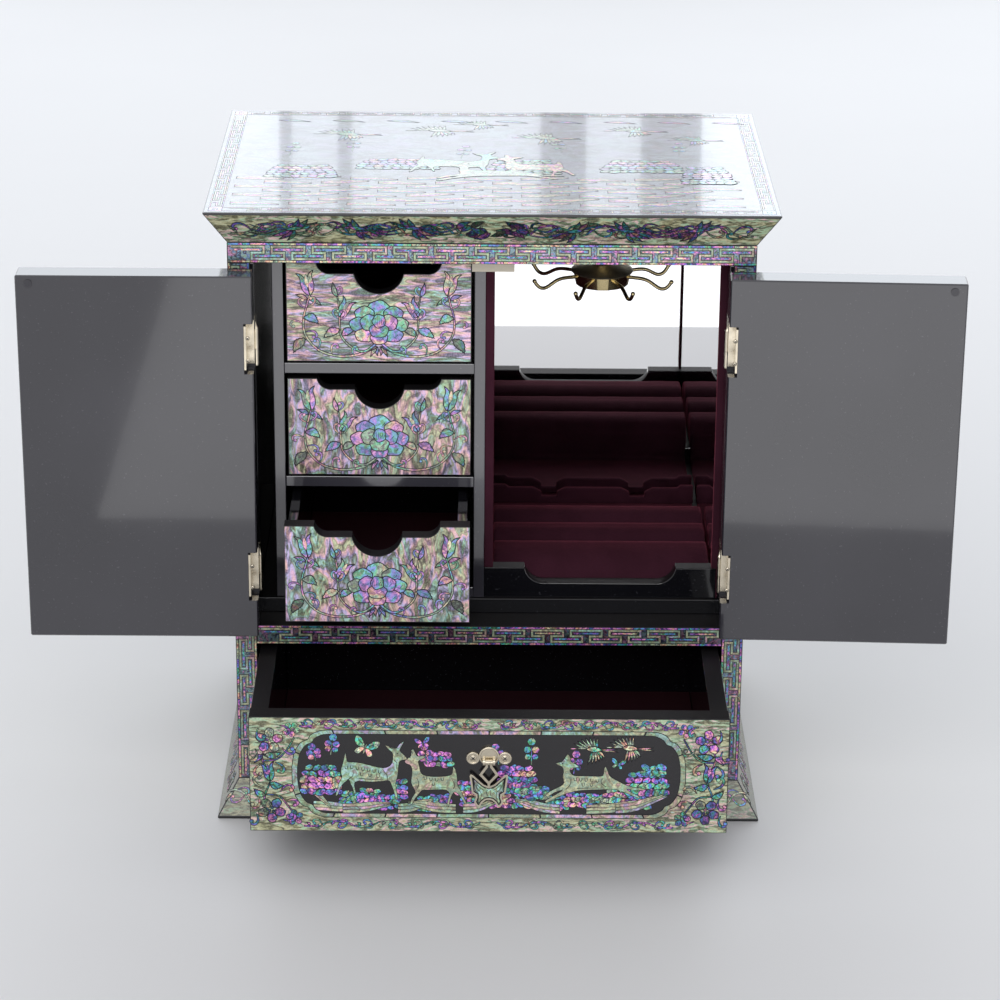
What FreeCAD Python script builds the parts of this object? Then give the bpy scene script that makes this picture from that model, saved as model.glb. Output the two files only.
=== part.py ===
import FreeCAD, Part
import math
import os

# Lacquered jewellery box with two doors, a bank of three small drawers, a velvet
# compartment with mirrors and a hanging carousel, and one wide drawer below.
# Millimetres, Z up. The front faces -Y. The origin is on the underside, in the
# middle of the plinth. The doors and two drawers are modelled open, as they rest.

# Cutting shapes run this far past the face they open
cut_overrun = 1.0

# Points closer than this are one point
merge_distance = 1e-6

# Carcass
carcass_width = 323.6
carcass_depth = 231.4
side_board = 13.6
bottom_board = 13.0
middle_shelf = 13.0
ceiling_board = 13.0
back_board = 5.0
drawer_opening_height = 81.5
cabinet_opening_height = 240.8

# Mouldings
moulding_overhang = 13.2
plinth_height = 23.4
cornice_height = 22.9
moulding_lip = 1.5
top_panel_core = 10.0
base_panel_thickness = 6.0
panel_clearance = 0.2

# Doors
liner_thickness = 2.6
liner_depth = 22.0
door_thickness = 18.0
door_hinge_gap = 0.9
door_meeting_gap = 2.6
door_bottom_gap = 1.7
door_top_gap = 1.9
door_edge_chamfer = 0.8
left_door_angle = 180.0
right_door_angle = 177.6

# Hinges
pin_forward = 2.4
pin_into_gap = 0.5
pin_radius = 0.7
pin_clearance = 0.05
barrel_radius = 1.6
barrel_sides = 14
fixed_knuckle_height = 9.9
knuckle_gap = 0.2
moving_knuckle_height = 12.4
finial_height = 5.2
finial_profile = ((1.0, 0.0), (1.0, 0.15), (0.45, 0.45), (0.0, 1.0))
button_height = 1.4
hinge_leaf = 1.2
hinge_leaf_height = 28.0
fixed_leaf_depth = 14.0
leaf_above_barrel_foot = 2.4
lower_hinge_height = 24.9
upper_hinge_drop = 62.3
pocket_width = 5.6
pocket_height = 32.2
pocket_skin = 3.0
mortise_clearance = 0.1

# Magnet catch and its strikes
catch_width = 26.2
catch_center_x = 0.9
catch_height = 10.7
catch_front_depth = 19.2
strike_radius = 2.5
strike_proud = 0.6
strike_sunk = 1.0
strike_from_edge = 8.0
strike_from_top = 5.0

# Insert with the drawer bank on the left
insert_base_thickness = 9.9
insert_base_setback = 22.0
insert_setback = 24.0
bank_board = 7.0
bank_top_board = 3.8
bank_left_gap = 11.6
cell_width = 119.0

# Small drawers
small_front_side_gap = 2.0
small_front_thickness = 10.2
small_front_lift = 1.2
small_front_top_gap = 3.3
small_box_inset = 1.9
small_box_back_gap = 17.2
small_box_wall = 5.8
small_box_floor = 3.4
small_box_drop = 1.5
runner_gap = 0.3
felt_thickness = 1.2
felt_gap = 0.3
small_drawer_out = (0.0, 0.0, 60.0)

# Finger notches
notch_half_width = 39.0
notch_shoulder_width = 9.7
notch_shoulder_depth = 7.0
notch_scoop_half_width = 15.5
notch_scoop_depth = 12.8

# Right compartment
velvet_board = 5.6
right_velvet_board = 3.2
right_velvet_strip = 6.0
mirror_thickness = 2.0
strip_proud = 1.0
lip_thickness = 9.8
lip_height = 20.7
lip_setback = 24.4
lip_dip_depth = 10.7
lip_dip_half_width = 34.3
lip_shoulder_width = 14.0

# Ring-roll tray and the well behind it
tray_gap = 0.3
roll_crest_height = 20.4
roll_pitch = 32.75
first_roll_setback = 65.8
roll_groove_depth = 9.5
tray_front_height = 8.8
tray_slope_bulge = (2.0, 2.6)
well_start = 145.0
well_floor = 1.8
well_facing = 1.6
partition_back_gap = 7.4
partition_thickness = 4.5
partition_height = 13.2
partition_end_rise = 2.0
partition_end_width = 9.0
funnel_spacing = 61.1
funnel_top_width = 22.0
funnel_stem_width = 10.6
funnel_depth = 6.5
funnel_stem_depth = 3.5

# Carousel
carousel_off_center = -0.5
carousel_setback = 124.0
rose_radius = 11.0
rose_height = 2.4
stem_radius = 3.4
stem_sides = 24
journal_radius = 2.4
journal_clearance = 0.05
stem_ring_radii = (8.8, 5.4, 6.6)
stem_ring_height = 3.4
stem_ring_steps = (0.3, 0.55, 0.85)
hub_top_drop = 41.6
hub_dome_height = 5.0
hub_dome_radius = 20.3
hub_dome_edge = 1.0
hub_dome_shoulder_radius = 13.4
hub_dome_shoulder_height = 3.4
hub_dome_crown_radius = 5.4
hub_dome_sides = 36
hub_top_play = 0.3
hub_foot_play = 0.2
hub_cup_height = 8.6
hub_cup_top_radius = 19.0
hub_cup_foot_radius = 17.2
hub_facets = 16
hook_count = 8
hook_first_angle = -27.9
hook_wire = 2.2
hook_wire_sides = 8
hook_drop_from_dome = 3.2
hook_root_sink = 0.6
hook_run_radius = 29.0
hook_run_drop = 0.6
hook_dip_start = 37.4
hook_dip_end = 41.8
hook_tip_radius = 45.6
hook_dip = 6.4
hook_curl = 6.6
hook_bend_radius = 3.2
retainer_radius = 4.2
retainer_foot_radius = 2.9
retainer_height = 1.8

# Wide drawer
wide_front_height = 77.4
wide_front_thickness = 13.1
wide_front_lift = 1.6
wide_side_gap = 1.2
wide_box_inset = 0.4
wide_box_wall = 11.0
wide_box_length = 200.0
wide_box_drop = 2.0
wide_box_floor = 4.2
wide_drawer_out = 105.0

# Butterfly pulls
pull_drop = 28.2
door_pull_from_edge = 15.5
door_pull_drop = 110.0
pull_pivot_proud = 3.4
pull_plate_thickness = 1.2
dome_radius = 6.2
dome_sides = 28
dome_rim = 1.2
dome_rim_height = 0.8
dome_rise = 3.4
bail_relief_radius = 4.0
ear_radius = 4.2
ear_sides = 18
ear_offset = 9.75
ear_rise = 1.7
lug_inner = 2.45
lug_thickness = 1.3
lug_radius = 2.0
pull_pin_radius = 0.8
pull_pin_clearance = 0.05
bail_barrel_radius = 1.7
bail_barrel_length = 4.4
bail_thickness = 1.6
bail_bar = 1.5
inlay_margin = 1.1
inlay_recess = 0.5

# Right half of the butterfly's outline and of its bail's bars, from the pivot down
butterfly_outline = [
    (0, -16.2),
    (3.4, -14.6),
    (9.8, -8.3),
    (11.2, -7.8),
    (11.8, -8.9),
    (10.4, -20.3),
    (8.1, -21.9),
    (8.0, -23.6),
    (9.0, -26.6),
    (8.0, -28.7),
    (6.4, -30.0),
    (5.4, -29.7),
    (3.8, -27.0),
    (2.0, -25.4),
    (0, -25.0),
]
bail_bar_ends = [
    ((1.2, -0.4), (1.5, -3.4)),
    ((1.5, -2.9), (5.4, -8.6)),
    ((5.5, -7.6), (0, -13.9)),
]
body_bar_ends = ((0, -13.4), (0, -17.0))

# Places worked out from the sizes above
half_width = carcass_width / 2
half_inside = half_width - side_board
half_opening = half_inside - liner_thickness
front_y = (moulding_overhang - carcass_depth) / 2
back_y = front_y + carcass_depth
back_inside_y = back_y - back_board
mirror_face_y = back_inside_y - mirror_thickness
mirror_back_x = half_inside - right_velvet_board
mirror_face_x = mirror_back_x - mirror_thickness

bottom_board_top = plinth_height + bottom_board
shelf_z = bottom_board_top + drawer_opening_height
cabinet_z = shelf_z + middle_shelf
ceiling_z = cabinet_z + cabinet_opening_height
cornice_z = ceiling_z + ceiling_board
top_z = cornice_z + cornice_height

door_bottom_z = cabinet_z + door_bottom_gap
door_top_z = ceiling_z - door_top_gap
door_edge_x = -half_opening + door_hinge_gap
door_free_x = -door_meeting_gap / 2
pin_x = -half_opening + pin_into_gap
pin_y = front_y - pin_forward
hinge_feet = (door_bottom_z + lower_hinge_height, door_top_z - upper_hinge_drop)

insert_z = cabinet_z + insert_base_thickness
insert_y = front_y + insert_setback
bank_left_x = -half_inside + bank_left_gap
cell_height = (ceiling_z - insert_z - 3 * bank_board - bank_top_board) / 3
cell_left_x = bank_left_x + bank_board
cell_right_x = cell_left_x + cell_width
divider_right_x = cell_right_x + bank_board
bank_center_x = (cell_left_x + cell_right_x) / 2
cell_floor_z = [insert_z + bank_board + i * (cell_height + bank_board) for i in range(3)]
drawer_cells = {1: cell_floor_z[2], 2: cell_floor_z[1], 3: cell_floor_z[0]}

small_front_width = cell_width - 2 * small_front_side_gap
small_front_height = cell_height - small_front_lift - small_front_top_gap
small_box_width = small_front_width - 2 * small_box_inset
small_box_length = back_inside_y - insert_y - small_front_thickness - small_box_back_gap

velvet_face_x = divider_right_x + velvet_board
strip_face_x = mirror_face_x - strip_proud
compartment_center_x = (divider_right_x + mirror_back_x) / 2
lip_y = front_y + lip_setback
lip_back_y = lip_y + lip_thickness
well_y = front_y + well_start

wide_front_z = bottom_board_top + wide_front_lift
wide_front_top = wide_front_z + wide_front_height
wide_half_width = half_inside - wide_side_gap

carousel_x = (velvet_face_x + mirror_face_x) / 2 + carousel_off_center
carousel_y = front_y + carousel_setback
hub_dome_z = ceiling_z - hub_top_drop - hub_dome_height
hub_foot_z = hub_dome_z - hub_cup_height


def vec(x, y, z):
    return FreeCAD.Vector(x, y, z)


def block(x0, x1, y0, y1, z0, z1):
    return Part.makeBox(x1 - x0, y1 - y0, z1 - z0, vec(x0, y0, z0))


def rod(radius, z0, z1, x, y):
    return Part.makeCylinder(radius, z1 - z0, vec(x, y, z0))


def polygon_face(points):
    return Part.Face(Part.makePolygon(points + [points[0]]))


def prism_along_x(yz_points, x0, x1):
    return polygon_face([vec(x0, y, z) for y, z in yz_points]).extrude(vec(x1 - x0, 0, 0))


def prism_along_y(xz_points, y0, y1):
    return polygon_face([vec(x, y0, z) for x, z in xz_points]).extrude(vec(0, y1 - y0, 0))


def prism_along_z(xy_points, z0, z1):
    return polygon_face([vec(x, y, z0) for x, y in xy_points]).extrude(vec(0, 0, z1 - z0))


def mirrored(shape):
    return shape.mirror(vec(0, 0, 0), vec(1, 0, 0))


def round_points(radius, sides):
    """Points of a circle's many-sided outline, for small repeated hardware."""
    turn = 2 * math.pi / sides
    angles = [(i + 0.5) * turn for i in range(sides)]
    return [(radius * math.cos(a), radius * math.sin(a)) for a in angles]


def sided_bar(radius, z0, z1, x, y, sides):
    return prism_along_z([(x + u, y + v) for u, v in round_points(radius, sides)], z0, z1)


def sided_turning(profile, x, y, sides):
    """A solid between the axis and (radius, height) points, with flat sides like a cut gem."""
    rings = []
    for radius, z in profile:
        if radius == 0:
            rings.append([vec(x, y, z)])
        else:
            rings.append([vec(x + u, y + v, z) for u, v in round_points(radius, sides)])
    faces = []
    for low, high in zip(rings, rings[1:]):
        for i in range(sides):
            j = i + 1
            corners = [low[i % len(low)], low[j % len(low)], high[j % len(high)], high[i % len(high)]]
            distinct = [c for k, c in enumerate(corners) if not c.isEqual(corners[k - 1], merge_distance)]
            if len(distinct) > 2:
                faces.append(polygon_face(distinct))
    for ring in (rings[0], rings[-1]):
        if len(ring) > 1:
            faces.append(polygon_face(ring))
    return Part.makeSolid(Part.makeShell(faces))


def edge_path(*steps):
    """Joins lines and three-point arcs into one closed wire; a step is an end or (middle, end)."""
    edges = []
    start = steps[0]
    for step in steps[1:]:
        if isinstance(step, tuple):
            edges.append(Part.Arc(start, step[0], step[1]).toShape())
            start = step[1]
        else:
            edges.append(Part.makeLine(start, step))
            start = step
    edges.append(Part.makeLine(start, steps[0]))
    return Part.Wire(edges)


# Mouldings: one profile runs round the front and both sides, mitred at the corners


def mitre_side(sign):
    reach = carcass_width + carcass_depth
    points = [
        (sign * (half_width - reach), front_y + reach),
        (sign * (half_width + reach), front_y - reach),
        (sign * (half_width + 2 * reach), front_y),
        (sign * half_width, front_y + 2 * reach),
    ]
    return prism_along_z(points, -carcass_depth, top_z + carcass_depth)


def moulding(profile):
    """Front, left and right lengths of a profile of (outward distance, height) points."""
    reach = half_width + moulding_overhang
    front = prism_along_x([(front_y - out, z) for out, z in profile], -reach, reach)
    side = [(half_width + out, z) for out, z in profile]
    right = prism_along_y(side, front_y - moulding_overhang, back_y)
    left = mirrored(right)
    left_corner = mitre_side(-1)
    right_corner = mitre_side(1)
    return front.cut(left_corner).cut(right_corner), left.common(left_corner), right.common(right_corner)


def plinth_parts():
    profile = [
        (-side_board, 0),
        (moulding_overhang, 0),
        (moulding_overhang, moulding_lip),
        (0, plinth_height),
        (-side_board, plinth_height),
    ]
    front, left, right = moulding(profile)
    base = block(
        -half_inside, half_inside, front_y + side_board, back_inside_y, 0, base_panel_thickness
    )
    return {"plinth_front": front, "plinth_left": left, "plinth_right": right, "base_panel": base}


def cornice_parts():
    panel_z = top_z - moulding_lip
    profile = [
        (-side_board, cornice_z),
        (0, cornice_z),
        (moulding_overhang, panel_z),
        (-side_board, panel_z),
    ]
    front, left, right = moulding(profile)
    reach = half_width + moulding_overhang
    panel = block(-reach, reach, front_y - moulding_overhang, back_y, panel_z, top_z)
    inside = half_inside - panel_clearance
    core = block(
        -inside,
        inside,
        front_y + side_board + panel_clearance,
        back_inside_y - panel_clearance,
        panel_z - top_panel_core,
        panel_z,
    )
    return {
        "cornice_front": front,
        "cornice_left": left,
        "cornice_right": right,
        "top_panel": panel.fuse(core).removeSplitter(),
    }


# Carcass boards


def carcass_parts():
    side = block(half_inside, half_width, front_y, back_y, plinth_height, cornice_z)
    back = block(-half_inside, half_inside, back_inside_y, back_y, 0, top_z - moulding_lip)
    boards = {
        "right_side_board": side,
        "left_side_board": mirrored(side),
        "back_panel": back,
    }
    spans = {
        "bottom_board": (plinth_height, bottom_board_top),
        "middle_shelf": (shelf_z, cabinet_z),
        "ceiling_board": (ceiling_z, cornice_z),
    }
    for name, (low, high) in spans.items():
        boards[name] = block(-half_inside, half_inside, front_y, back_inside_y, low, high)
    return boards


def jamb_liners():
    liner = block(-half_inside, -half_opening, front_y, front_y + liner_depth, cabinet_z, ceiling_z)
    for foot in hinge_feet:
        liner = liner.cut(fixed_leaf_plate(foot, mortise_clearance))
    return {"left_jamb_liner": liner, "right_jamb_liner": mirrored(liner)}


# Hinges: a fixed leaf let into the liner, an angled leaf in the door's pocket,
# and a pin with a pointed head through both knuckles


def leaf_heights(foot):
    return foot + leaf_above_barrel_foot, foot + leaf_above_barrel_foot + hinge_leaf_height


def fixed_leaf_plate(foot, margin):
    low, high = leaf_heights(foot)
    return block(
        -half_opening - hinge_leaf,
        -half_opening + margin,
        front_y - margin,
        front_y + fixed_leaf_depth + margin,
        low - margin,
        high + margin,
    )


def fixed_leaf(foot):
    knuckle_top = foot + fixed_knuckle_height
    strap = block(-half_opening - hinge_leaf, -half_opening, pin_y, front_y, foot, knuckle_top)
    barrel = sided_bar(barrel_radius, foot, knuckle_top, pin_x, pin_y, barrel_sides)
    leaf = barrel.fuse([strap, fixed_leaf_plate(foot, 0)]).removeSplitter()
    return leaf.cut(rod(pin_radius + pin_clearance, foot, knuckle_top, pin_x, pin_y))


def moving_knuckle_heights(foot):
    low = foot + fixed_knuckle_height + knuckle_gap
    return low, low + moving_knuckle_height


def moving_leaf(foot):
    low, high = leaf_heights(foot)
    knuckle_low, knuckle_high = moving_knuckle_heights(foot)
    flat_y = front_y + pocket_skin
    web_x = door_edge_x + mortise_clearance
    far_x = door_edge_x + pocket_width - mortise_clearance
    flat = block(web_x, far_x, flat_y, flat_y + hinge_leaf, low, high)
    upright = block(
        far_x - hinge_leaf, far_x, flat_y, front_y + door_thickness - door_edge_chamfer, low, high
    )
    web = block(web_x, web_x + hinge_leaf, pin_y, flat_y + hinge_leaf, knuckle_low, knuckle_high)
    barrel = sided_bar(barrel_radius, knuckle_low, knuckle_high, pin_x, pin_y, barrel_sides)
    leaf = barrel.fuse([web, flat, upright]).removeSplitter()
    return leaf.cut(rod(pin_radius + pin_clearance, knuckle_low, knuckle_high, pin_x, pin_y))


def hinge_pin(foot):
    top = moving_knuckle_heights(foot)[1] + knuckle_gap / 2
    seat = foot - knuckle_gap / 2
    button = [
        (pin_radius, seat - button_height),
        (barrel_radius, seat - button_height / 3),
        (barrel_radius, seat),
    ]
    finial = [(barrel_radius * wide, top + finial_height * rise) for wide, rise in finial_profile]
    ends = [sided_turning(profile, pin_x, pin_y, barrel_sides) for profile in (button, finial)]
    return rod(pin_radius, seat, top, pin_x, pin_y).fuse(ends).removeSplitter()


def both_sides(make):
    left = [make(foot) for foot in hinge_feet]
    return Part.makeCompound(left + [mirrored(shape) for shape in left])


def hinge_parts():
    return {"hinge_fixed_leaves": both_sides(fixed_leaf), "hinge_pins": both_sides(hinge_pin)}


# Doors, made closed on the left and then swung open about their pins


def closed_door_panel():
    panel = block(
        door_edge_x, door_free_x, front_y, front_y + door_thickness, door_bottom_z, door_top_z
    )
    panel = panel.makeChamfer(door_edge_chamfer, panel.Edges)
    for foot in hinge_feet:
        pocket = block(
            door_edge_x,
            door_edge_x + pocket_width,
            front_y + pocket_skin,
            front_y + door_thickness,
            foot,
            foot + pocket_height,
        )
        low, high = moving_knuckle_heights(foot)
        slot = block(
            door_edge_x,
            door_edge_x + hinge_leaf + 2 * mortise_clearance,
            front_y,
            front_y + pocket_skin,
            low - mortise_clearance,
            high + mortise_clearance,
        )
        panel = panel.cut(pocket).cut(slot)
    return panel.cut(strike_disc(0))


def strike_disc(proud):
    x = door_free_x - strike_from_edge
    z = door_top_z - strike_from_top
    inner_y = front_y + door_thickness
    return Part.makeCylinder(
        strike_radius, strike_sunk + proud, vec(x, inner_y - strike_sunk, z), vec(0, 1, 0)
    )


def closed_door_pull():
    x = door_free_x - door_pull_from_edge
    return x, front_y, door_top_z - door_pull_drop


def door_parts():
    leaves = Part.makeCompound([moving_leaf(foot) for foot in hinge_feet])
    plate, butterfly = pull_parts(*closed_door_pull())
    pieces = {
        "door_panel": closed_door_panel(),
        "hinge_leaves": leaves,
        "door_strike": strike_disc(strike_proud),
        "door_pull_plate": plate,
        "door_pull_butterfly": butterfly,
    }
    parts = {}
    for name, piece in pieces.items():
        left = piece.copy()
        left.rotate(vec(pin_x, pin_y, 0), vec(0, 0, 1), -left_door_angle)
        right = mirrored(piece)
        right.rotate(vec(-pin_x, pin_y, 0), vec(0, 0, 1), right_door_angle)
        parts["left_" + name] = left
        parts["right_" + name] = right
    return parts


# Butterfly pulls: a domed plate with two screw ears and lugs, and a hanging butterfly


def pull_parts(x, face_y, pivot_z):
    pivot_y = face_y - pull_pivot_proud
    plate_y = face_y - pull_plate_thickness

    def disc(radius, u, w, y0, y1, sides):
        points = [(x + u + a, pivot_z + w + b) for a, b in round_points(radius, sides)]
        return prism_along_y(points, y0, y1)

    def cross_rod(radius):
        reach = lug_inner + lug_thickness
        return Part.makeCylinder(radius, 2 * reach, vec(x - reach, pivot_y, pivot_z), vec(1, 0, 0))

    rim_y = plate_y - dome_rim_height
    dome = disc(dome_radius, 0, dome_rise, rim_y, face_y, dome_sides)
    dome = dome.cut(disc(dome_radius - dome_rim, 0, dome_rise, rim_y, plate_y, dome_sides))
    dome = dome.cut(disc(bail_relief_radius, 0, 0, pivot_y - lug_radius, plate_y, ear_sides))
    ears = [
        disc(ear_radius, side * ear_offset, ear_rise, plate_y, face_y, ear_sides)
        for side in (-1, 1)
    ]
    front_half = sorted((b, a) for a, b in round_points(lug_radius, ear_sides) if a > 0)
    nose = [(pivot_y - a, pivot_z + b) for b, a in front_half]
    lug_profile = [(face_y, nose[0][1]), *nose, (face_y, nose[-1][1])]
    lugs = []
    for side in (-1, 1):
        inner = x + side * lug_inner
        outer = inner + side * lug_thickness
        lugs.append(prism_along_x(lug_profile, min(inner, outer), max(inner, outer)))
    plate = dome.fuse(ears + lugs + [cross_rod(pull_pin_radius)]).removeSplitter()

    def at(u, w):
        return vec(x + u, pivot_y + bail_thickness / 2, pivot_z + w)

    outline = [at(u, w) for u, w in butterfly_outline]
    outline += [at(-u, w) for u, w in reversed(butterfly_outline[1:-1])]
    through = vec(0, -bail_thickness, 0)
    wings = polygon_face(outline).extrude(through)
    recess = polygon_face(outline).makeOffset2D(-inlay_margin, 2)
    recess.translate(vec(0, -bail_thickness + inlay_recess, 0))
    wings = wings.cut(recess.extrude(vec(0, -inlay_recess, 0)))

    def bar(a, b):
        length = math.hypot(b[0] - a[0], b[1] - a[1])
        half = bail_bar / 2 / length
        across = ((b[1] - a[1]) * half, (a[0] - b[0]) * half)
        corners = [
            at(a[0] + across[0], a[1] + across[1]),
            at(b[0] + across[0], b[1] + across[1]),
            at(b[0] - across[0], b[1] - across[1]),
            at(a[0] - across[0], a[1] - across[1]),
        ]
        return polygon_face(corners).extrude(through)

    bars = [bar(*body_bar_ends)]
    for (u0, w0), (u1, w1) in bail_bar_ends:
        bars.append(bar((u0, w0), (u1, w1)))
        bars.append(bar((-u0, w0), (-u1, w1)))
    ring = round_points(bail_barrel_radius, barrel_sides)
    barrel = prism_along_x(
        [(pivot_y + a, pivot_z + b) for a, b in ring],
        x - bail_barrel_length / 2,
        x + bail_barrel_length / 2,
    )
    bore = cross_rod(pull_pin_radius + pull_pin_clearance)
    butterfly = wings.fuse(bars + [barrel]).removeSplitter().cut(bore)
    return plate, butterfly


# Insert: base board, drawer bank and magnet catch


def insert_parts():
    base = block(
        -half_inside, half_inside, front_y + insert_base_setback, back_inside_y, cabinet_z, insert_z
    )
    well = block(velvet_face_x, mirror_back_x, well_y, back_inside_y, cabinet_z, insert_z)
    catch = block(
        catch_center_x - catch_width / 2,
        catch_center_x + catch_width / 2,
        front_y + catch_front_depth,
        insert_y,
        ceiling_z - catch_height,
        ceiling_z,
    )
    parts = {
        "insert_base_board": base.cut(well),
        "bank_left_panel": block(
            bank_left_x, cell_left_x, insert_y, back_inside_y, insert_z, ceiling_z
        ),
        "bank_divider": block(
            cell_right_x, divider_right_x, insert_y, back_inside_y, insert_z, ceiling_z
        ),
        "magnet_catch": catch,
    }
    levels = [insert_z] + [floor + cell_height for floor in cell_floor_z]
    tops = [level + bank_board for level in levels[:-1]] + [ceiling_z]
    boards = [
        block(cell_left_x, cell_right_x, insert_y, back_inside_y, low, high)
        for low, high in zip(levels, tops)
    ]
    parts["bank_shelves"] = Part.makeCompound(boards)
    return parts


# Right compartment: velvet boards, mirrors and the dipped front lip


def compartment_parts():
    lip_top = insert_z + lip_height
    lip_space = block(divider_right_x, mirror_back_x, front_y, lip_back_y, insert_z, lip_top)
    left_velvet = block(
        divider_right_x, velvet_face_x, lip_y, back_inside_y, insert_z, ceiling_z
    ).cut(lip_space)
    right_backing = block(
        mirror_back_x, mirror_back_x + right_velvet_board, lip_y, back_inside_y, insert_z, ceiling_z
    )
    strip = block(
        strip_face_x, mirror_back_x, lip_y, lip_y + right_velvet_strip, insert_z, ceiling_z
    ).cut(lip_space)
    strip_back_y = max(lip_y + right_velvet_strip, lip_back_y)
    side_mirror = block(
        mirror_face_x, mirror_back_x, strip_back_y, mirror_face_y, insert_z, ceiling_z
    )
    back_mirror = block(
        velvet_face_x, mirror_back_x, mirror_face_y, back_inside_y, cabinet_z, ceiling_z
    )
    return {
        "compartment_left_velvet": left_velvet,
        "compartment_right_velvet": right_backing.fuse(strip).removeSplitter(),
        "side_mirror": side_mirror,
        "back_mirror": back_mirror,
        "front_lip": front_lip(),
    }


def front_lip():
    c = compartment_center_x
    top = insert_z + lip_height
    dip = top - lip_dip_depth
    flat = lip_dip_half_width
    wide = flat + lip_shoulder_width
    slant = math.sqrt(0.5)

    def at(u, z):
        return vec(c + u, lip_y, z)

    shoulder = lip_shoulder_width * slant
    drop = lip_dip_depth * slant
    outline = edge_path(
        vec(divider_right_x, lip_y, insert_z),
        vec(mirror_back_x, lip_y, insert_z),
        vec(mirror_back_x, lip_y, top),
        at(wide, top),
        (at(flat + shoulder, top - drop), at(flat, dip)),
        at(-flat, dip),
        (at(-flat - shoulder, top - drop), at(-wide, top)),
        vec(divider_right_x, lip_y, top),
    )
    return Part.Face(outline).extrude(vec(0, lip_thickness, 0))


def tray_parts():
    """Three padded ring rolls, then a deep well; all one velvet-covered form."""
    left = velvet_face_x + tray_gap
    right = strip_face_x - tray_gap
    start = lip_back_y + tray_gap
    crest_z = insert_z + roll_crest_height
    groove_z = crest_z - roll_groove_depth
    crests = [front_y + first_roll_setback + i * roll_pitch for i in range(3)]
    half = roll_pitch / 2
    slant = math.sqrt(0.5)
    drop = roll_groove_depth * (1 - slant)

    def at(y, z):
        return vec(left, y, z)

    front_rise = insert_z + tray_front_height
    slope_middle = at(
        (start + crests[0]) / 2 - tray_slope_bulge[0],
        (front_rise + crest_z) / 2 + tray_slope_bulge[1],
    )
    steps = [at(start, insert_z), at(start, front_rise), (slope_middle, at(crests[0], crest_z))]
    for crest in crests[:-1]:
        after = crest + roll_pitch
        steps.append((at(crest + half * slant, crest_z - drop), at(crest + half, groove_z)))
        steps.append((at(after - half * slant, crest_z - drop), at(after, crest_z)))
    back_edge = well_y - tray_gap
    back_fall = back_edge - crests[-1]
    steps.append((at(crests[-1] + back_fall * slant, crest_z - drop), at(back_edge, groove_z)))
    steps.append(at(back_edge, insert_z))
    rolls = Part.Face(edge_path(*steps)).extrude(vec(right - left, 0, 0))
    facing_y = well_y + tray_gap
    facing_back_y = facing_y + well_facing
    facing = block(left, right, facing_y, facing_back_y, cabinet_z, groove_z)
    bridge = block(left, right, back_edge, facing_back_y, insert_z, groove_z)
    lining = block(
        left, right, facing_y, mirror_face_y - tray_gap, cabinet_z, cabinet_z + well_floor
    )
    tray = rolls.fuse([bridge, facing, lining]).removeSplitter()
    return {"ring_roll_tray": tray, "well_partition": well_partition(left, right)}


def well_partition(left, right):
    foot = cabinet_z + well_floor
    top = foot + partition_height - partition_end_rise
    y = mirror_face_y - partition_back_gap - partition_thickness
    centre = (left + right) / 2
    points = [
        (left, foot),
        (right, foot),
        (right, top + partition_end_rise),
        (right - partition_end_width, top + partition_end_rise),
        (right - partition_end_width - partition_end_rise, top),
    ]
    for side in (1, -1):
        x = centre + side * funnel_spacing / 2
        points += [
            (x + funnel_top_width / 2, top),
            (x + funnel_stem_width / 2, top - funnel_depth + funnel_stem_depth),
            (x + funnel_stem_width / 2, top - funnel_depth),
            (x - funnel_stem_width / 2, top - funnel_depth),
            (x - funnel_stem_width / 2, top - funnel_depth + funnel_stem_depth),
            (x - funnel_top_width / 2, top),
        ]
    points += [
        (left + partition_end_width + partition_end_rise, top),
        (left + partition_end_width, top + partition_end_rise),
        (left, top + partition_end_rise),
    ]
    return prism_along_y(points, y, y + partition_thickness)


# Carousel: a turned stem under the ceiling, a domed hub on its journal, and eight hooks


def carousel_stem():
    neck_z = hub_dome_z + hub_dome_height + hub_top_play
    foot = hub_foot_z - hub_foot_play
    ring_z = neck_z + len(stem_ring_radii) * stem_ring_height
    rose_z = ceiling_z - rose_height
    profile = [
        (rose_radius, ceiling_z),
        (rose_radius, ceiling_z - rose_height / 2),
        (stem_radius, rose_z),
        (stem_radius, ring_z),
    ]
    for i, radius in enumerate(stem_ring_radii):
        high = ring_z - i * stem_ring_height
        for ring_radius, step in zip((radius, radius, stem_radius), stem_ring_steps):
            profile.append((ring_radius, high - stem_ring_height * step))
    profile.append((stem_radius, neck_z))
    retainer = [
        (retainer_radius, foot),
        (retainer_radius, foot - retainer_height / 2),
        (retainer_foot_radius, foot - retainer_height),
    ]
    ends = [
        sided_turning(shape, carousel_x, carousel_y, stem_sides) for shape in (profile, retainer)
    ]
    journal = rod(journal_radius, foot, neck_z, carousel_x, carousel_y)
    return journal.fuse(ends).removeSplitter()


def hub_ring(radius, z):
    turn = 2 * math.pi / hub_facets
    first = math.radians(hook_first_angle) + turn / 2
    corners = []
    for i in range(hub_facets):
        a = first + i * turn
        corners.append(vec(carousel_x + radius * math.sin(a), carousel_y - radius * math.cos(a), z))
    return Part.makePolygon(corners + [corners[0]])


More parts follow.
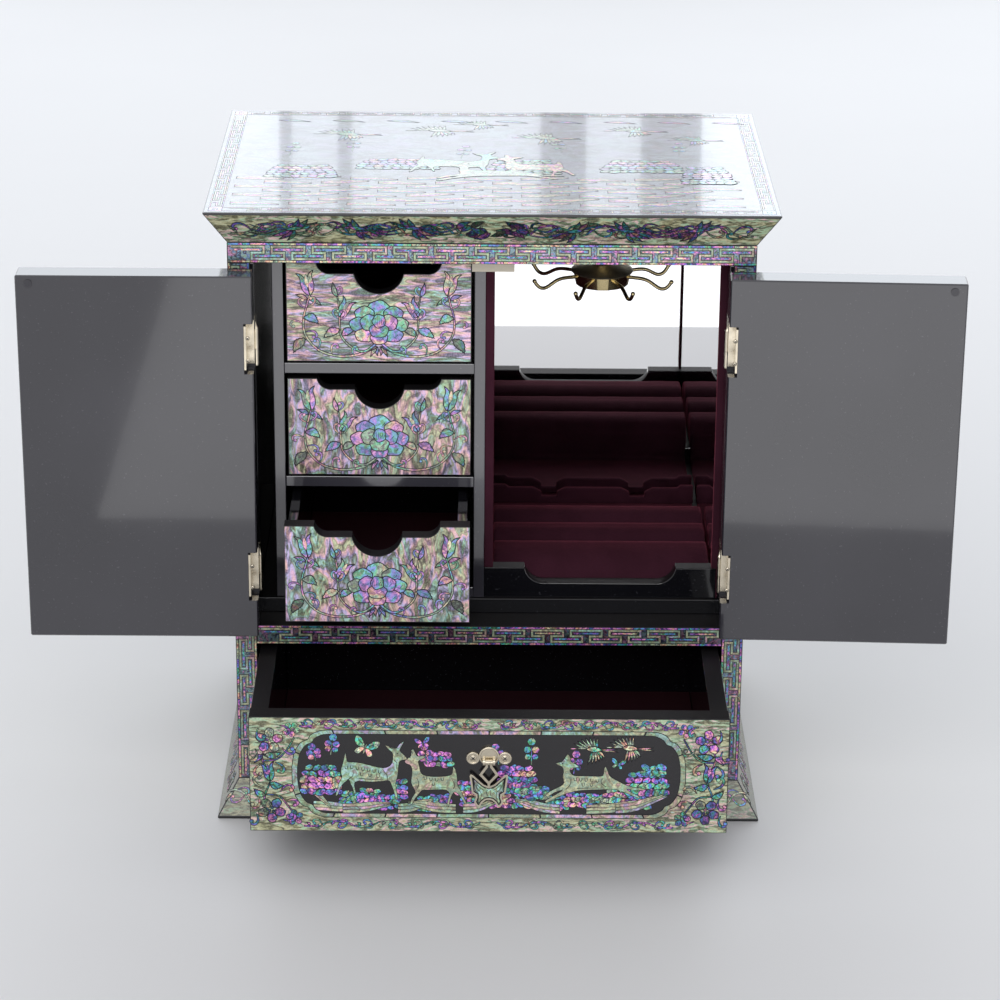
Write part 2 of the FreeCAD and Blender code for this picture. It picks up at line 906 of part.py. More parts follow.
def carousel_hub():
    hollow = journal_radius + journal_clearance
    profile = [
        (hub_dome_radius, hub_dome_z),
        (hub_dome_radius, hub_dome_z + hub_dome_edge),
        (hub_dome_shoulder_radius, hub_dome_z + hub_dome_shoulder_height),
        (hub_dome_crown_radius, hub_dome_z + hub_dome_height),
    ]
    dome = sided_turning(profile, carousel_x, carousel_y, hub_dome_sides)
    rings = [hub_ring(hub_cup_foot_radius, hub_foot_z), hub_ring(hub_cup_top_radius, hub_dome_z)]
    cup = Part.makeLoft(rings, True, True)
    bore = rod(hollow, hub_foot_z, hub_dome_z + hub_dome_height, carousel_x, carousel_y)
    return dome.fuse(cup).removeSplitter().cut(bore)


def hook(angle):
    """One hook made along +X from the hub, then turned to its place."""
    z = hub_dome_z - hook_drop_from_dome
    middle = z - hub_foot_z
    slope = (hub_cup_top_radius - hub_cup_foot_radius) / hub_cup_height
    facet = math.cos(math.pi / hub_facets)
    root = (hub_cup_foot_radius + slope * middle) * facet - hook_root_sink
    corners = [
        vec(root, 0, z),
        vec(hook_run_radius, 0, z - hook_run_drop),
        vec(hook_dip_start, 0, z - hook_dip),
        vec(hook_dip_end, 0, z - hook_dip),
        vec(hook_tip_radius, 0, z - hook_dip + hook_curl),
    ]
    wire = bent_bar(corners, hook_bend_radius).cut(hook_seat_cutter())
    wire.rotate(vec(0, 0, 0), vec(0, 0, 1), angle - 90)
    wire.translate(vec(carousel_x, carousel_y, 0))
    return wire


def hook_seat_cutter():
    """The flat facet of the hub's cup, as a block that trims the hook's root to it."""
    facet = math.cos(math.pi / hub_facets)
    points = [
        (0, hub_foot_z),
        (hub_cup_foot_radius * facet, hub_foot_z),
        (hub_cup_top_radius * facet, hub_dome_z),
        (0, hub_dome_z),
    ]
    return prism_along_y(points, -hook_wire, hook_wire)


def bar_section(center, direction):
    """The section of a hook, square to its run; the hooks lie in upright planes."""
    up = vec(0, 1, 0).cross(direction)
    points = []
    for i in range(hook_wire_sides):
        a = 2 * math.pi * (i + 0.5) / hook_wire_sides
        across = vec(0, 1, 0) * (hook_wire / 2 * math.cos(a))
        points.append(center + across + up * (hook_wire / 2 * math.sin(a)))
    return polygon_face(points)


def bent_bar(corners, radius):
    """Straight runs joined by tangent bends, each no larger than its runs allow."""
    pieces = []
    start = corners[0]
    for before, corner, after in zip(corners, corners[1:], corners[2:]):
        heading = (corner - before).normalize()
        onward = (after - corner).normalize()
        turn = heading.getAngle(onward)
        run = min((corner - before).Length, (after - corner).Length)
        r = min(radius, 0.45 * run / math.tan(turn / 2))
        first = corner - heading * (r * math.tan(turn / 2))
        axis = heading.cross(onward).normalize()
        centre = first + axis.cross(heading) * r
        pieces.append(bar_section(start, heading).extrude(first - start))
        pieces.append(bar_section(first, heading).revolve(centre, axis, math.degrees(turn)))
        start = corner + onward * (r * math.tan(turn / 2))
    pieces.append(bar_section(start, onward).extrude(corners[-1] - start))
    return pieces[0].fuse(pieces[1:]).removeSplitter()


def carousel_parts():
    step = 360.0 / hook_count
    hooks = [hook(hook_first_angle + i * step) for i in range(hook_count)]
    return {
        "carousel_stem": carousel_stem(),
        "carousel_hub": carousel_hub(),
        "carousel_hooks": Part.makeCompound(hooks),
    }


# Drawers


def notch_cutter(x, top_z, y0, y1):
    half = notch_half_width
    step = half - notch_shoulder_width
    scoop = notch_scoop_half_width
    slant = math.sqrt(0.5)

    def at(u, drop):
        return vec(x + u, y0, top_z - drop)

    bend_u = step + notch_shoulder_width * slant
    bend_drop = notch_shoulder_depth * slant
    shoulder = notch_shoulder_depth
    outline = edge_path(
        at(-half, -cut_overrun),
        at(-half, 0),
        (at(-bend_u, bend_drop), at(-step, shoulder)),
        at(-scoop, shoulder),
        (at(0, shoulder + notch_scoop_depth), at(scoop, shoulder)),
        at(step, shoulder),
        (at(bend_u, bend_drop), at(half, 0)),
        at(half, -cut_overrun),
    )
    return Part.Face(outline).extrude(vec(0, y1 - y0, 0))


def drawer_box(half, y0, y1, z0, z1, wall, floor):
    """Two sides, a back and a floor as four boards that meet face to face."""
    return [
        block(-half, wall - half, y0, y1, z0, z1),
        block(half - wall, half, y0, y1, z0, z1),
        block(wall - half, half - wall, y1 - wall, y1, z0, z1),
        block(wall - half, half - wall, y0, y1 - wall, z0, z0 + floor),
    ]


def small_drawer(number):
    floor_z = drawer_cells[number]
    face_y = insert_y - small_drawer_out[number - 1]
    half = small_front_width / 2
    x = bank_center_x
    z0 = floor_z + small_front_lift
    z1 = z0 + small_front_height
    back = face_y + small_front_thickness
    front = block(x - half, x + half, face_y, back, z0, z1)
    front = front.cut(notch_cutter(x, z1, face_y, back))
    boards = drawer_box(
        small_box_width / 2,
        back,
        back + small_box_length,
        floor_z + runner_gap,
        z1 - small_box_drop,
        small_box_wall,
        small_box_floor,
    )
    for board in boards:
        board.translate(vec(x, 0, 0))
    inner = small_box_width / 2 - small_box_wall - felt_gap
    felt_z = floor_z + runner_gap + small_box_floor
    felt = block(
        x - inner,
        x + inner,
        back + felt_gap,
        back + small_box_length - small_box_wall - felt_gap,
        felt_z,
        felt_z + felt_thickness,
    )
    name = "small_drawer_%d" % number
    return {
        name + "_front": front,
        name + "_box": Part.makeCompound(boards),
        name + "_felt": felt,
    }


def wide_drawer():
    face_y = front_y - wide_drawer_out
    back = face_y + wide_front_thickness
    front = block(-wide_half_width, wide_half_width, face_y, back, wide_front_z, wide_front_top)
    half = wide_half_width - wide_box_inset
    boards = drawer_box(
        half,
        back,
        back + wide_box_length,
        bottom_board_top + runner_gap,
        wide_front_top - wide_box_drop,
        wide_box_wall,
        wide_box_floor,
    )
    inner = half - wide_box_wall - felt_gap
    felt_z = bottom_board_top + runner_gap + wide_box_floor
    felt = block(
        -inner,
        inner,
        back + felt_gap,
        back + wide_box_length - wide_box_wall - felt_gap,
        felt_z,
        felt_z + felt_thickness,
    )
    plate, butterfly = pull_parts(0, face_y, wide_front_top - pull_drop)
    return {
        "wide_drawer_front": front,
        "wide_drawer_box": Part.makeCompound(boards),
        "wide_drawer_felt": felt,
        "wide_drawer_pull_plate": plate,
        "wide_drawer_pull_butterfly": butterfly,
    }


nodes = {}
nodes.update(plinth_parts())
nodes.update(carcass_parts())
nodes.update(cornice_parts())
nodes.update(jamb_liners())
nodes.update(hinge_parts())
nodes.update(door_parts())
nodes.update(insert_parts())
nodes.update(compartment_parts())
nodes.update(tray_parts())
nodes.update(carousel_parts())
for number in (1, 2, 3):
    nodes.update(small_drawer(number))
nodes.update(wide_drawer())

os.makedirs("parts", exist_ok=True)
for name, shape in nodes.items():
    shape.exportStep("parts/%s.step" % name)
print(len(nodes), "parts")
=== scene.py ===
import cmath
from contextlib import contextmanager
import math
import random
import bmesh
import bpy
from mathutils import Matrix, Vector, noise

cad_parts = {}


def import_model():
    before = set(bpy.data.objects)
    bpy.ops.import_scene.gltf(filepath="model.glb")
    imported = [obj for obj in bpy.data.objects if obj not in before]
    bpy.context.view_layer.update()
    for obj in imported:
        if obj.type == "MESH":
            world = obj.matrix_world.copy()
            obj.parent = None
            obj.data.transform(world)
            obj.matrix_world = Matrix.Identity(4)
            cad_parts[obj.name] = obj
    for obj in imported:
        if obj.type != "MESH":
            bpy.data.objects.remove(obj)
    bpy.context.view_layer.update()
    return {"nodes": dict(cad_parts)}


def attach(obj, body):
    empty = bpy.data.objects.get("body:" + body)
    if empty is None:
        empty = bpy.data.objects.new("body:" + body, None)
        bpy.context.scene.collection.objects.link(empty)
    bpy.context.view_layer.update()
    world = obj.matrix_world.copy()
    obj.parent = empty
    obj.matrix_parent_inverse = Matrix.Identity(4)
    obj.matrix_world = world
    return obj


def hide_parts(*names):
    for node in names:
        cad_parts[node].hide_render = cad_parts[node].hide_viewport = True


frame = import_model()
nodes = frame["nodes"]
mm = 0.001
dice = random.Random(7)


# shader helpers
def linear(r, g, b):  # screen colour to the linear values that shaders use
    return tuple(c / 12.92 if c <= 0.04045 else ((c + 0.055) / 1.055) ** 2.4 for c in (r, g, b))


class Sock:  # a socket that takes part in sums
    def __init__(self, maker, socket):
        self.maker, self.socket = maker, socket

    def math(self, operation, a, b):
        return self.maker.add("ShaderNodeMath", {"operation": operation}, {0: a, 1: b})

    def __add__(self, other):
        return self.math("ADD", self, other)

    def __sub__(self, other):
        return self.math("SUBTRACT", self, other)

    def __rsub__(self, other):
        return self.math("SUBTRACT", other, self)

    def __mul__(self, other):
        return self.math("MULTIPLY", self, other)

    __radd__ = __add__
    __rmul__ = __mul__


class Shader:
    def __init__(self, name):
        self.material = bpy.data.materials.new(name)
        self.material.use_nodes = True
        self.tree = self.material.node_tree
        self.tree.nodes.clear()

    def add(self, kind, settings=None, sockets=None, output=0):
        node = self.tree.nodes.new(kind)
        for key, value in (settings or {}).items():
            if key == "stops":
                stops = node.color_ramp.elements
                stops.remove(stops[-1])
                stops[0].position, stops[0].color = value[0][0], (*value[0][1], 1)
                for position, colour in value[1:]:
                    stops.new(position).color = (*colour, 1)
            else:
                setattr(node, key, value)
        for key, value in (sockets or {}).items():
            if isinstance(value, Sock):
                self.tree.links.new(value.socket, node.inputs[key])
            else:
                node.inputs[key].default_value = value
        return Sock(self, node.outputs[output]) if node.outputs else None

    def place(self, scale, turn=(0, 0, 0)):
        spot = self.add("ShaderNodeTexCoord", output="Object")
        return self.add("ShaderNodeMapping", {}, {"Vector": spot, "Scale": scale, "Rotation": turn})

    def noise(self, size, detail=2.0, distortion=0.0, turn=(0, 0, 0)):  # size is a number or one for each axis
        place = self.place(size if isinstance(size, tuple) else (size,) * 3, turn)
        return self.add("ShaderNodeTexNoise", {}, {"Vector": place, "Scale": 1.0, "Detail": detail,
                                                   "Distortion": distortion}, "Fac")

    def ramp(self, factor, stops):
        return self.add("ShaderNodeValToRGB", {"stops": stops}, {"Fac": factor}, "Color")

    def fade(self, value, low, high):  # 0 below low, 1 above high, smooth between
        settings = {"interpolation_type": "SMOOTHSTEP"}
        return self.add("ShaderNodeMapRange", settings, {"Value": value, "From Min": low, "From Max": high})

    def mix(self, factor, a, b, blend="MIX"):
        colours = {0: factor}
        for index, colour in ((6, a), (7, b)):
            colours[index] = colour if isinstance(colour, Sock) else (*colour, 1)
        return self.add("ShaderNodeMix", {"data_type": "RGBA", "blend_type": blend}, colours, 2)

    def bump(self, height, strength, distance):
        return self.add("ShaderNodeBump", {}, {"Height": height, "Strength": strength, "Distance": distance})

    def finish(self, **sockets):
        named = {}
        for key, value in sockets.items():
            named[key.replace("_", " ")] = (*value, 1) if isinstance(value, tuple) else value
        surface = self.add("ShaderNodeBsdfPrincipled", {}, named)
        self.add("ShaderNodeOutputMaterial", {}, {"Surface": surface})
        return self.material


# materials
def lacquer(name, colour, roughness=0.07, shine=1.5, coat=0.5):  # polished, with faint waves and a little dust
    s = Shader(name)
    haze = s.noise(9, 3.0)
    dust = s.noise(700, 1.0)
    tone = s.mix(s.fade(haze, 0.3, 0.75), colour, tuple(c * 1.25 + 0.002 for c in colour))
    tone = s.mix(s.fade(dust, 0.70, 0.78) * 0.25, tone, (0.16, 0.16, 0.18))
    wave = s.noise(26)
    return s.finish(Base_Color=tone, Roughness=haze * 0.05 + roughness, IOR=shine, Coat_Weight=coat,
                    Coat_Roughness=0.03, Normal=s.bump(wave, 0.012, 0.004))


def velvet(name, colour, sheen=0.55):  # short nap, brushed one way and the other
    s = Shader(name)
    nap = s.noise(1500)
    brushed = s.noise((30, 22, 30), 3.0, 0.8)
    tone = s.mix(s.fade(brushed, 0.35, 0.7), tuple(c * 0.62 for c in colour), colour)
    tone = s.mix(nap * 0.6, tone, tuple(c * 1.9 for c in colour))
    return s.finish(Base_Color=tone, Roughness=0.92, Specular_IOR_Level=0.1, Sheen_Weight=sheen,
                    Sheen_Roughness=0.35, Sheen_Tint=(0.66, 0.13, 0.20),
                    Normal=s.bump(nap + brushed * 0.4, 0.5, 0.0006))


def brass(name, colour, roughness=0.16):  # aged a little, with fine scratches
    s = Shader(name)
    cloud = s.noise(120, 3.0)
    scratches = s.noise((2600, 300, 900), turn=(0.3, 0.5, 0.2))
    tone = s.mix(s.fade(cloud, 0.35, 0.75), colour, tuple(c * 0.78 for c in colour))
    return s.finish(Base_Color=tone, Metallic=1.0, Roughness=cloud * 0.14 + scratches * 0.06 + roughness - 0.06,
                    Normal=s.bump(scratches, 0.08, 0.0002))


def palette(*rows):  # stops of a ramp, each a place and a screen colour
    return [(place, linear(*colour)) for place, *colour in rows]


mutedStops = palette((0.00, 0.64, 0.63, 0.52), (0.11, 0.62, 0.76, 0.60), (0.20, 0.66, 0.82, 0.80),
                     (0.30, 0.58, 0.57, 0.50), (0.40, 0.72, 0.70, 0.86), (0.50, 0.87, 0.71, 0.82),
                     (0.60, 0.91, 0.74, 0.72), (0.70, 0.60, 0.58, 0.50), (0.80, 0.80, 0.80, 0.64),
                     (0.90, 0.60, 0.70, 0.62), (1.00, 0.64, 0.63, 0.52))
oliveStops = palette((0.00, 0.66, 0.66, 0.51), (0.18, 0.74, 0.73, 0.60), (0.34, 0.60, 0.73, 0.60),
                     (0.46, 0.86, 0.72, 0.72), (0.58, 0.68, 0.65, 0.51), (0.72, 0.68, 0.76, 0.74),
                     (0.86, 0.77, 0.74, 0.58), (1.00, 0.66, 0.66, 0.51))
fretStops = palette((0.00, 0.52, 0.56, 0.62), (0.14, 0.54, 0.72, 0.76), (0.28, 0.62, 0.58, 0.70),
                    (0.42, 0.86, 0.55, 0.80), (0.54, 0.88, 0.68, 0.72), (0.66, 0.54, 0.52, 0.66),
                    (0.80, 0.50, 0.66, 0.84), (0.92, 0.66, 0.78, 0.66), (1.00, 0.52, 0.56, 0.62))
lidStops = palette((0.00, 0.56, 0.62, 0.74), (0.20, 0.66, 0.76, 0.80), (0.40, 0.70, 0.68, 0.84),
                   (0.60, 0.62, 0.70, 0.76), (0.80, 0.80, 0.76, 0.84), (1.00, 0.56, 0.62, 0.74))
vividStops = palette((0.00, 0.48, 0.46, 0.52), (0.10, 0.72, 0.82, 0.68), (0.20, 0.32, 0.74, 0.50),
                     (0.29, 0.38, 0.76, 0.78), (0.38, 0.38, 0.52, 0.86), (0.47, 0.54, 0.42, 0.80),
                     (0.57, 0.84, 0.46, 0.82), (0.67, 0.96, 0.66, 0.82), (0.76, 0.95, 0.66, 0.56),
                     (0.86, 0.90, 0.87, 0.70), (0.94, 0.70, 0.80, 0.66), (1.00, 0.48, 0.46, 0.52))
motifStops = palette((0.00, 0.60, 0.59, 0.60), (0.10, 0.72, 0.82, 0.72), (0.20, 0.52, 0.82, 0.62),
                     (0.29, 0.52, 0.82, 0.84), (0.38, 0.56, 0.66, 0.92), (0.47, 0.68, 0.58, 0.88),
                     (0.57, 0.88, 0.60, 0.88), (0.67, 0.97, 0.72, 0.86), (0.76, 0.97, 0.74, 0.66),
                     (0.86, 0.90, 0.88, 0.74), (0.94, 0.70, 0.80, 0.68), (1.00, 0.60, 0.59, 0.60))


# sheet of nacre: grain is its clouds to the metre, swirl and fleck how far the hues run
def shell(name, stops, grain, swirl, fleck, tinted=False, bright=1.0, coat=0.25, relief=0.8):
    s = Shader(name)
    drift = s.noise(grain, 3.0, 1.4)
    fine = s.noise(tuple(2.7 * c for c in grain), 2.5, 1.6)
    spark = s.noise(1100)
    hue = drift * swirl + fine * fleck
    light = s.fade(fine, 0.38, 0.60) * relief + s.fade(spark, 0.3, 0.7) * 0.25 + 0.6 - relief / 2
    if tinted:
        tint = s.add("ShaderNodeAttribute", {"attribute_name": "tint"}, output="Color")
        hue = hue + s.add("ShaderNodeSeparateColor", {}, {"Color": tint}, 0) - (swirl + fleck) * 0.5 + 1.0
        light = light * (s.add("ShaderNodeSeparateColor", {}, {"Color": tint}, 1) * 1.4 + 0.3)
    rainbow = s.ramp(s.add("ShaderNodeMath", {"operation": "FRACT"}, {0: hue}), stops)
    light = light * bright
    shade = s.add("ShaderNodeCombineColor", {}, {"Red": light, "Green": light, "Blue": light})
    tone = s.mix(1.0, rainbow, shade, "MULTIPLY")
    crack = s.add("ShaderNodeTexVoronoi", {"feature": "DISTANCE_TO_EDGE"},
                  {"Vector": s.place(grain), "Scale": 1.3})
    tone = s.mix(s.fade(crack, 0.01, 0.03) * relief * 0.35 + 1 - relief * 0.35, linear(0.30, 0.29, 0.28), tone)
    return s.finish(Base_Color=tone, Roughness=fine * 0.12 + 0.16, Metallic=0.15, IOR=1.5,
                    Coat_Weight=coat, Coat_Roughness=0.05, Normal=s.bump(fine + spark * 0.3, 0.06, 0.001))


blackLacquer = lacquer("blackLacquer", (0.006, 0.006, 0.008))
# painted reflection: the doors get a lighter copy of the black lacquer, standing in for the bright room they
# reflect
doorLacquer = lacquer("doorLacquer", (0.027, 0.026, 0.033), 0.05, 1.66)
# painted light: a lighter copy of the black lacquer for the banks' faces that look forward
frontLitLacquer = lacquer("frontLitLacquer", (0.044, 0.042, 0.052), 0.06, 1.8)
# near-black lacquer for scored lines and dark grounds, also used as painted shade in screw slots and a painted
# dark reflection on the doors' arrises
inkAndShadeLacquer = lacquer("inkAndShadeLacquer", (0.009, 0.009, 0.013), 0.4, 1.35, 0.1)
dullLacquer = lacquer("dullLacquer", (0.010, 0.009, 0.010), 0.42, 1.25, 0.0)
fieldLacquer = lacquer("fieldLacquer", (0.012, 0.011, 0.013), 0.16, 1.5, 0.3)
wineVelvet = velvet("wineVelvet", (0.046, 0.012, 0.022))
deepVelvet = velvet("deepVelvet", (0.016, 0.006, 0.009), 0.12)
paleBrass = brass("paleBrass", (0.70, 0.63, 0.50), 0.20)
goldBrass = brass("goldBrass", (0.80, 0.66, 0.36))
softBrass = brass("softBrass", (0.74, 0.68, 0.52), 0.40)

streakShell = shell("streakShell", mutedStops, (23, 60, 105), 2.6, 0.45, bright=1.18)
drawerShell = shell("drawerShell", mutedStops, (66, 66, 29), 2.6, 0.45, bright=1.10)
sideShell = shell("sideShell", oliveStops, (70, 70, 34), 1.5, 0.3, bright=0.98, relief=0.45)
oliveShell = shell("oliveShell", oliveStops, (36, 90, 120), 1.8, 0.7, bright=1.18)
fretShell = shell("fretShell", fretStops, (110, 110, 110), 2.6, 0.8, bright=0.80)
# painted shade: a darker copy of the fret shell for the fret on the middle shelf, which lies in shadow
shadedFretShell = shell("shadedFretShell", fretStops, (110, 110, 110), 2.6, 0.8, bright=0.30)
tintShell = shell("tintShell", vividStops, (120, 120, 120), 1.5, 0.4, True, 1.12)
plinthShell = shell("plinthShell", oliveStops, (36, 90, 120), 1.8, 0.7, bright=0.50)
softTint = shell("softTint", motifStops, (80, 80, 80), 1.5, 0.45, True, 1.12, relief=0.5)
paleTint = shell("paleTint", mutedStops, (64, 64, 64), 1.7, 0.4, True, 1.14, relief=0.35)
lidShell = shell("lidShell", lidStops, (26, 44, 44), 2.0, 0.5, bright=0.46, coat=1.0, relief=0.6)
lidTint = shell("lidTint", motifStops, (90, 90, 90), 1.3, 0.4, True, 0.78, 1.0, 0.5)


def mirrorGlass():
    s = Shader("mirrorGlass")
    haze = s.noise(14, 3.0)
    tone = s.mix(haze, (0.90, 0.91, 0.92), (0.93, 0.93, 0.94))
    return s.finish(Base_Color=tone, Metallic=1.0, Roughness=haze * 0.02 + 0.005)


def creamPlastic():
    s = Shader("creamPlastic")
    grain = s.noise(900)
    tone = s.mix(grain, (0.72, 0.64, 0.50), (0.80, 0.73, 0.60))
    return s.finish(Base_Color=tone, Roughness=0.42, Normal=s.bump(grain, 0.15, 0.0003))


def blackSteel():
    s = Shader("blackSteel")
    grit = s.noise(1800)
    return s.finish(Base_Color=s.mix(grit, (0.040, 0.038, 0.046), (0.052, 0.050, 0.058)),
                    Roughness=grit * 0.08 + 0.08, Normal=s.bump(grit, 0.1, 0.0002))


silverGlass = mirrorGlass()
catchCase = creamPlastic()
strikeSteel = blackSteel()
print("materials made")


def dress(material, *names):
    for name in names:
        nodes[name].data.materials.clear()
        nodes[name].data.materials.append(material)


smallDrawers = ("small_drawer_1", "small_drawer_2", "small_drawer_3")
smallFronts = [f"{name}_front" for name in smallDrawers]
rounded = ["back_panel", "base_panel", "bottom_board", "ceiling_board", "middle_shelf", "left_side_board",
           "right_side_board", "left_jamb_liner", "right_jamb_liner", "insert_base_board", "bank_left_panel",
           "bank_divider", "bank_shelves", "front_lip", "wide_drawer_box", "wide_drawer_front", "top_panel",
           "cornice_front", "cornice_left", "cornice_right", "plinth_front", "plinth_left", "plinth_right",
           *[f"{name}_box" for name in smallDrawers]]
dress(blackLacquer, *rounded, *smallFronts)
dress(doorLacquer, "left_door_panel", "right_door_panel")
dress(silverGlass, "back_mirror", "side_mirror")
dress(paleBrass, "hinge_fixed_leaves", "hinge_pins", "left_hinge_leaves", "right_hinge_leaves", "carousel_stem",
      "carousel_hub", "carousel_hooks",
      *[f"{name}_pull_plate" for name in ("left_door", "right_door", "wide_drawer")],
      *[f"{name}_pull_butterfly" for name in ("left_door", "right_door", "wide_drawer")])
dress(catchCase, "magnet_catch")
dress(strikeSteel, "left_door_strike", "right_door_strike")
dress(wineVelvet, "compartment_left_velvet", "compartment_right_velvet", "ring_roll_tray", "well_partition",
      "wide_drawer_felt", *[f"{name}_felt" for name in smallDrawers])

edges = {"weld": 0.00002, "boardRound": 0.0005, "doorRound": 0.0009, "steps": 2, "sharpFrom": 25}
for name in sorted(rounded) + ["left_door_panel", "right_door_panel"]:  # a small round on lacquered edges
    isDoor = name.endswith("door_panel")
    weld = nodes[name].modifiers.new("weld", "WELD")
    weld.merge_threshold = edges["weld"]
    rounding = nodes[name].modifiers.new("rounding", "BEVEL")
    rounding.width = edges["doorRound" if isDoor else "boardRound"]
    rounding.segments = edges["steps"]
    rounding.limit_method = "ANGLE"
    rounding.angle_limit = math.radians(edges["sharpFrom"])
    if isDoor:  # the doors' arrises are darker: the near-black lacquer on them is a painted dark reflection along the rounded edge
        rounding.material = 1
        nodes[name].data.materials.append(inkAndShadeLacquer)


def faceLook(name, way, material, share=0.98):  # another material on the faces that look one way, a rougher finish on some and painted light on others
    data = nodes[name].data
    data.materials.append(material)
    for polygon in data.polygons:
        if polygon.normal.dot(Vector(way)) > share:
            polygon.material_index = len(data.materials) - 1


# painted light: the banks' faces that look forward get a lighter lacquer than their other faces
for name in ("bank_left_panel", "bank_divider", "bank_shelves"):
    faceLook(name, (0, -1, 0), frontLitLacquer)
for name in ("front_lip", "middle_shelf", "bottom_board", "insert_base_board", "wide_drawer_front",
             "wide_drawer_box", *smallFronts):
    faceLook(name, (0, 0, 1), dullLacquer, 0.3)


# shared makers of pieces
def linked(name, data):  # a new object in the scene
    made = bpy.data.objects.new(name, data)
    bpy.context.scene.collection.objects.link(made)
    return made


def meshOf(bm, name):
    mesh = bpy.data.meshes.new(name)
    bm.to_mesh(mesh)
    bm.free()
    return mesh


def newPiece(name, mesh, looks, body):
    for look in looks:
        mesh.materials.append(look)
    piece = linked(name, mesh)
    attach(piece, body)
    return piece


def extent(verts):  # lowest and highest corner
    return [Vector([f([v.co[i] for v in verts]) for i in range(3)]) for f in (min, max)]


def axes(right, up, out):  # a frame with these three directions
    return Matrix((right, up, out)).transposed().to_4x4()


# inlay: flat pieces of shell, drawn in mm as complex numbers, x to the right and y up
tones = {"grey": 0.0, "pale": 0.1, "green": 0.2, "teal": 0.29, "blue": 0.38, "purple": 0.47, "magenta": 0.57,
         "pink": 0.67, "salmon": 0.76, "cream": 0.86, "sage": 0.94}
shellKind, inkKind, groundKind, paleKind = 0, 1, 2, 3
motifHues = ("pink", "purple", "blue", "green", "salmon", "teal", "magenta")
# how deep slips start and how high they lie, mm
proud = {"rooted": 0.1, "first": 0.115, "step": 0.010, "most": 0.22}
plate = {"rooted": 0.15, "flat": 0.999, "weld": 0.01, "sameHeight": 0.1}  # for the shell under them, mm


def anyHue(*choices):
    return dice.choice(choices or motifHues)


def turned(degrees):
    return cmath.rect(1, math.radians(degrees))


def drawn(pairs):  # points from pairs of x and y
    return [complex(x, y) for x, y in pairs]


def rect(x1, y1, x2, y2):
    return drawn(((x1, y1), (x2, y1), (x2, y2), (x1, y2)))


def disc(center, radius, sides):
    return [center + turned(360 / sides * k) * radius for k in range(sides)]


def smooth(points, steps=4, closed=True):  # a loop or line that runs softly through its points
    count = len(points)
    line = []
    for i in range(count if closed else count - 1):
        near = [(i + k) % count if closed else min(max(i + k, 0), count - 1) for k in (-1, 0, 1, 2)]
        a, b, c, d = (points[k] for k in near)
        for s in range(steps):
            t = s / steps
            line.append(0.5 * (2 * b + (c - a) * t + (2 * a - 5 * b + 4 * c - d) * t * t
                               + (3 * b - a - 3 * c + d) * t ** 3))
    return line if closed else line + [points[-1]]


def ribbon(line, widths):  # outline of a stroke whose width runs through the given widths
    left, right = [], []
    last = len(line) - 1
    for i, p in enumerate(line):
        ahead = line[min(i + 1, last)] - line[max(i - 1, 0)]
        side = ahead / abs(ahead) * 1j
        t = i / last * (len(widths) - 1)
        k = min(int(t), len(widths) - 2)
        half = (widths[k] + (widths[k + 1] - widths[k]) * (t - k)) / 2
        left.append(p + side * half)
        right.append(p - side * half)
    return right + left[::-1]


def signedArea(outline):
    return sum((a.conjugate() * b).imag for a, b in zip(outline, outline[1:] + outline[:1])) / 2


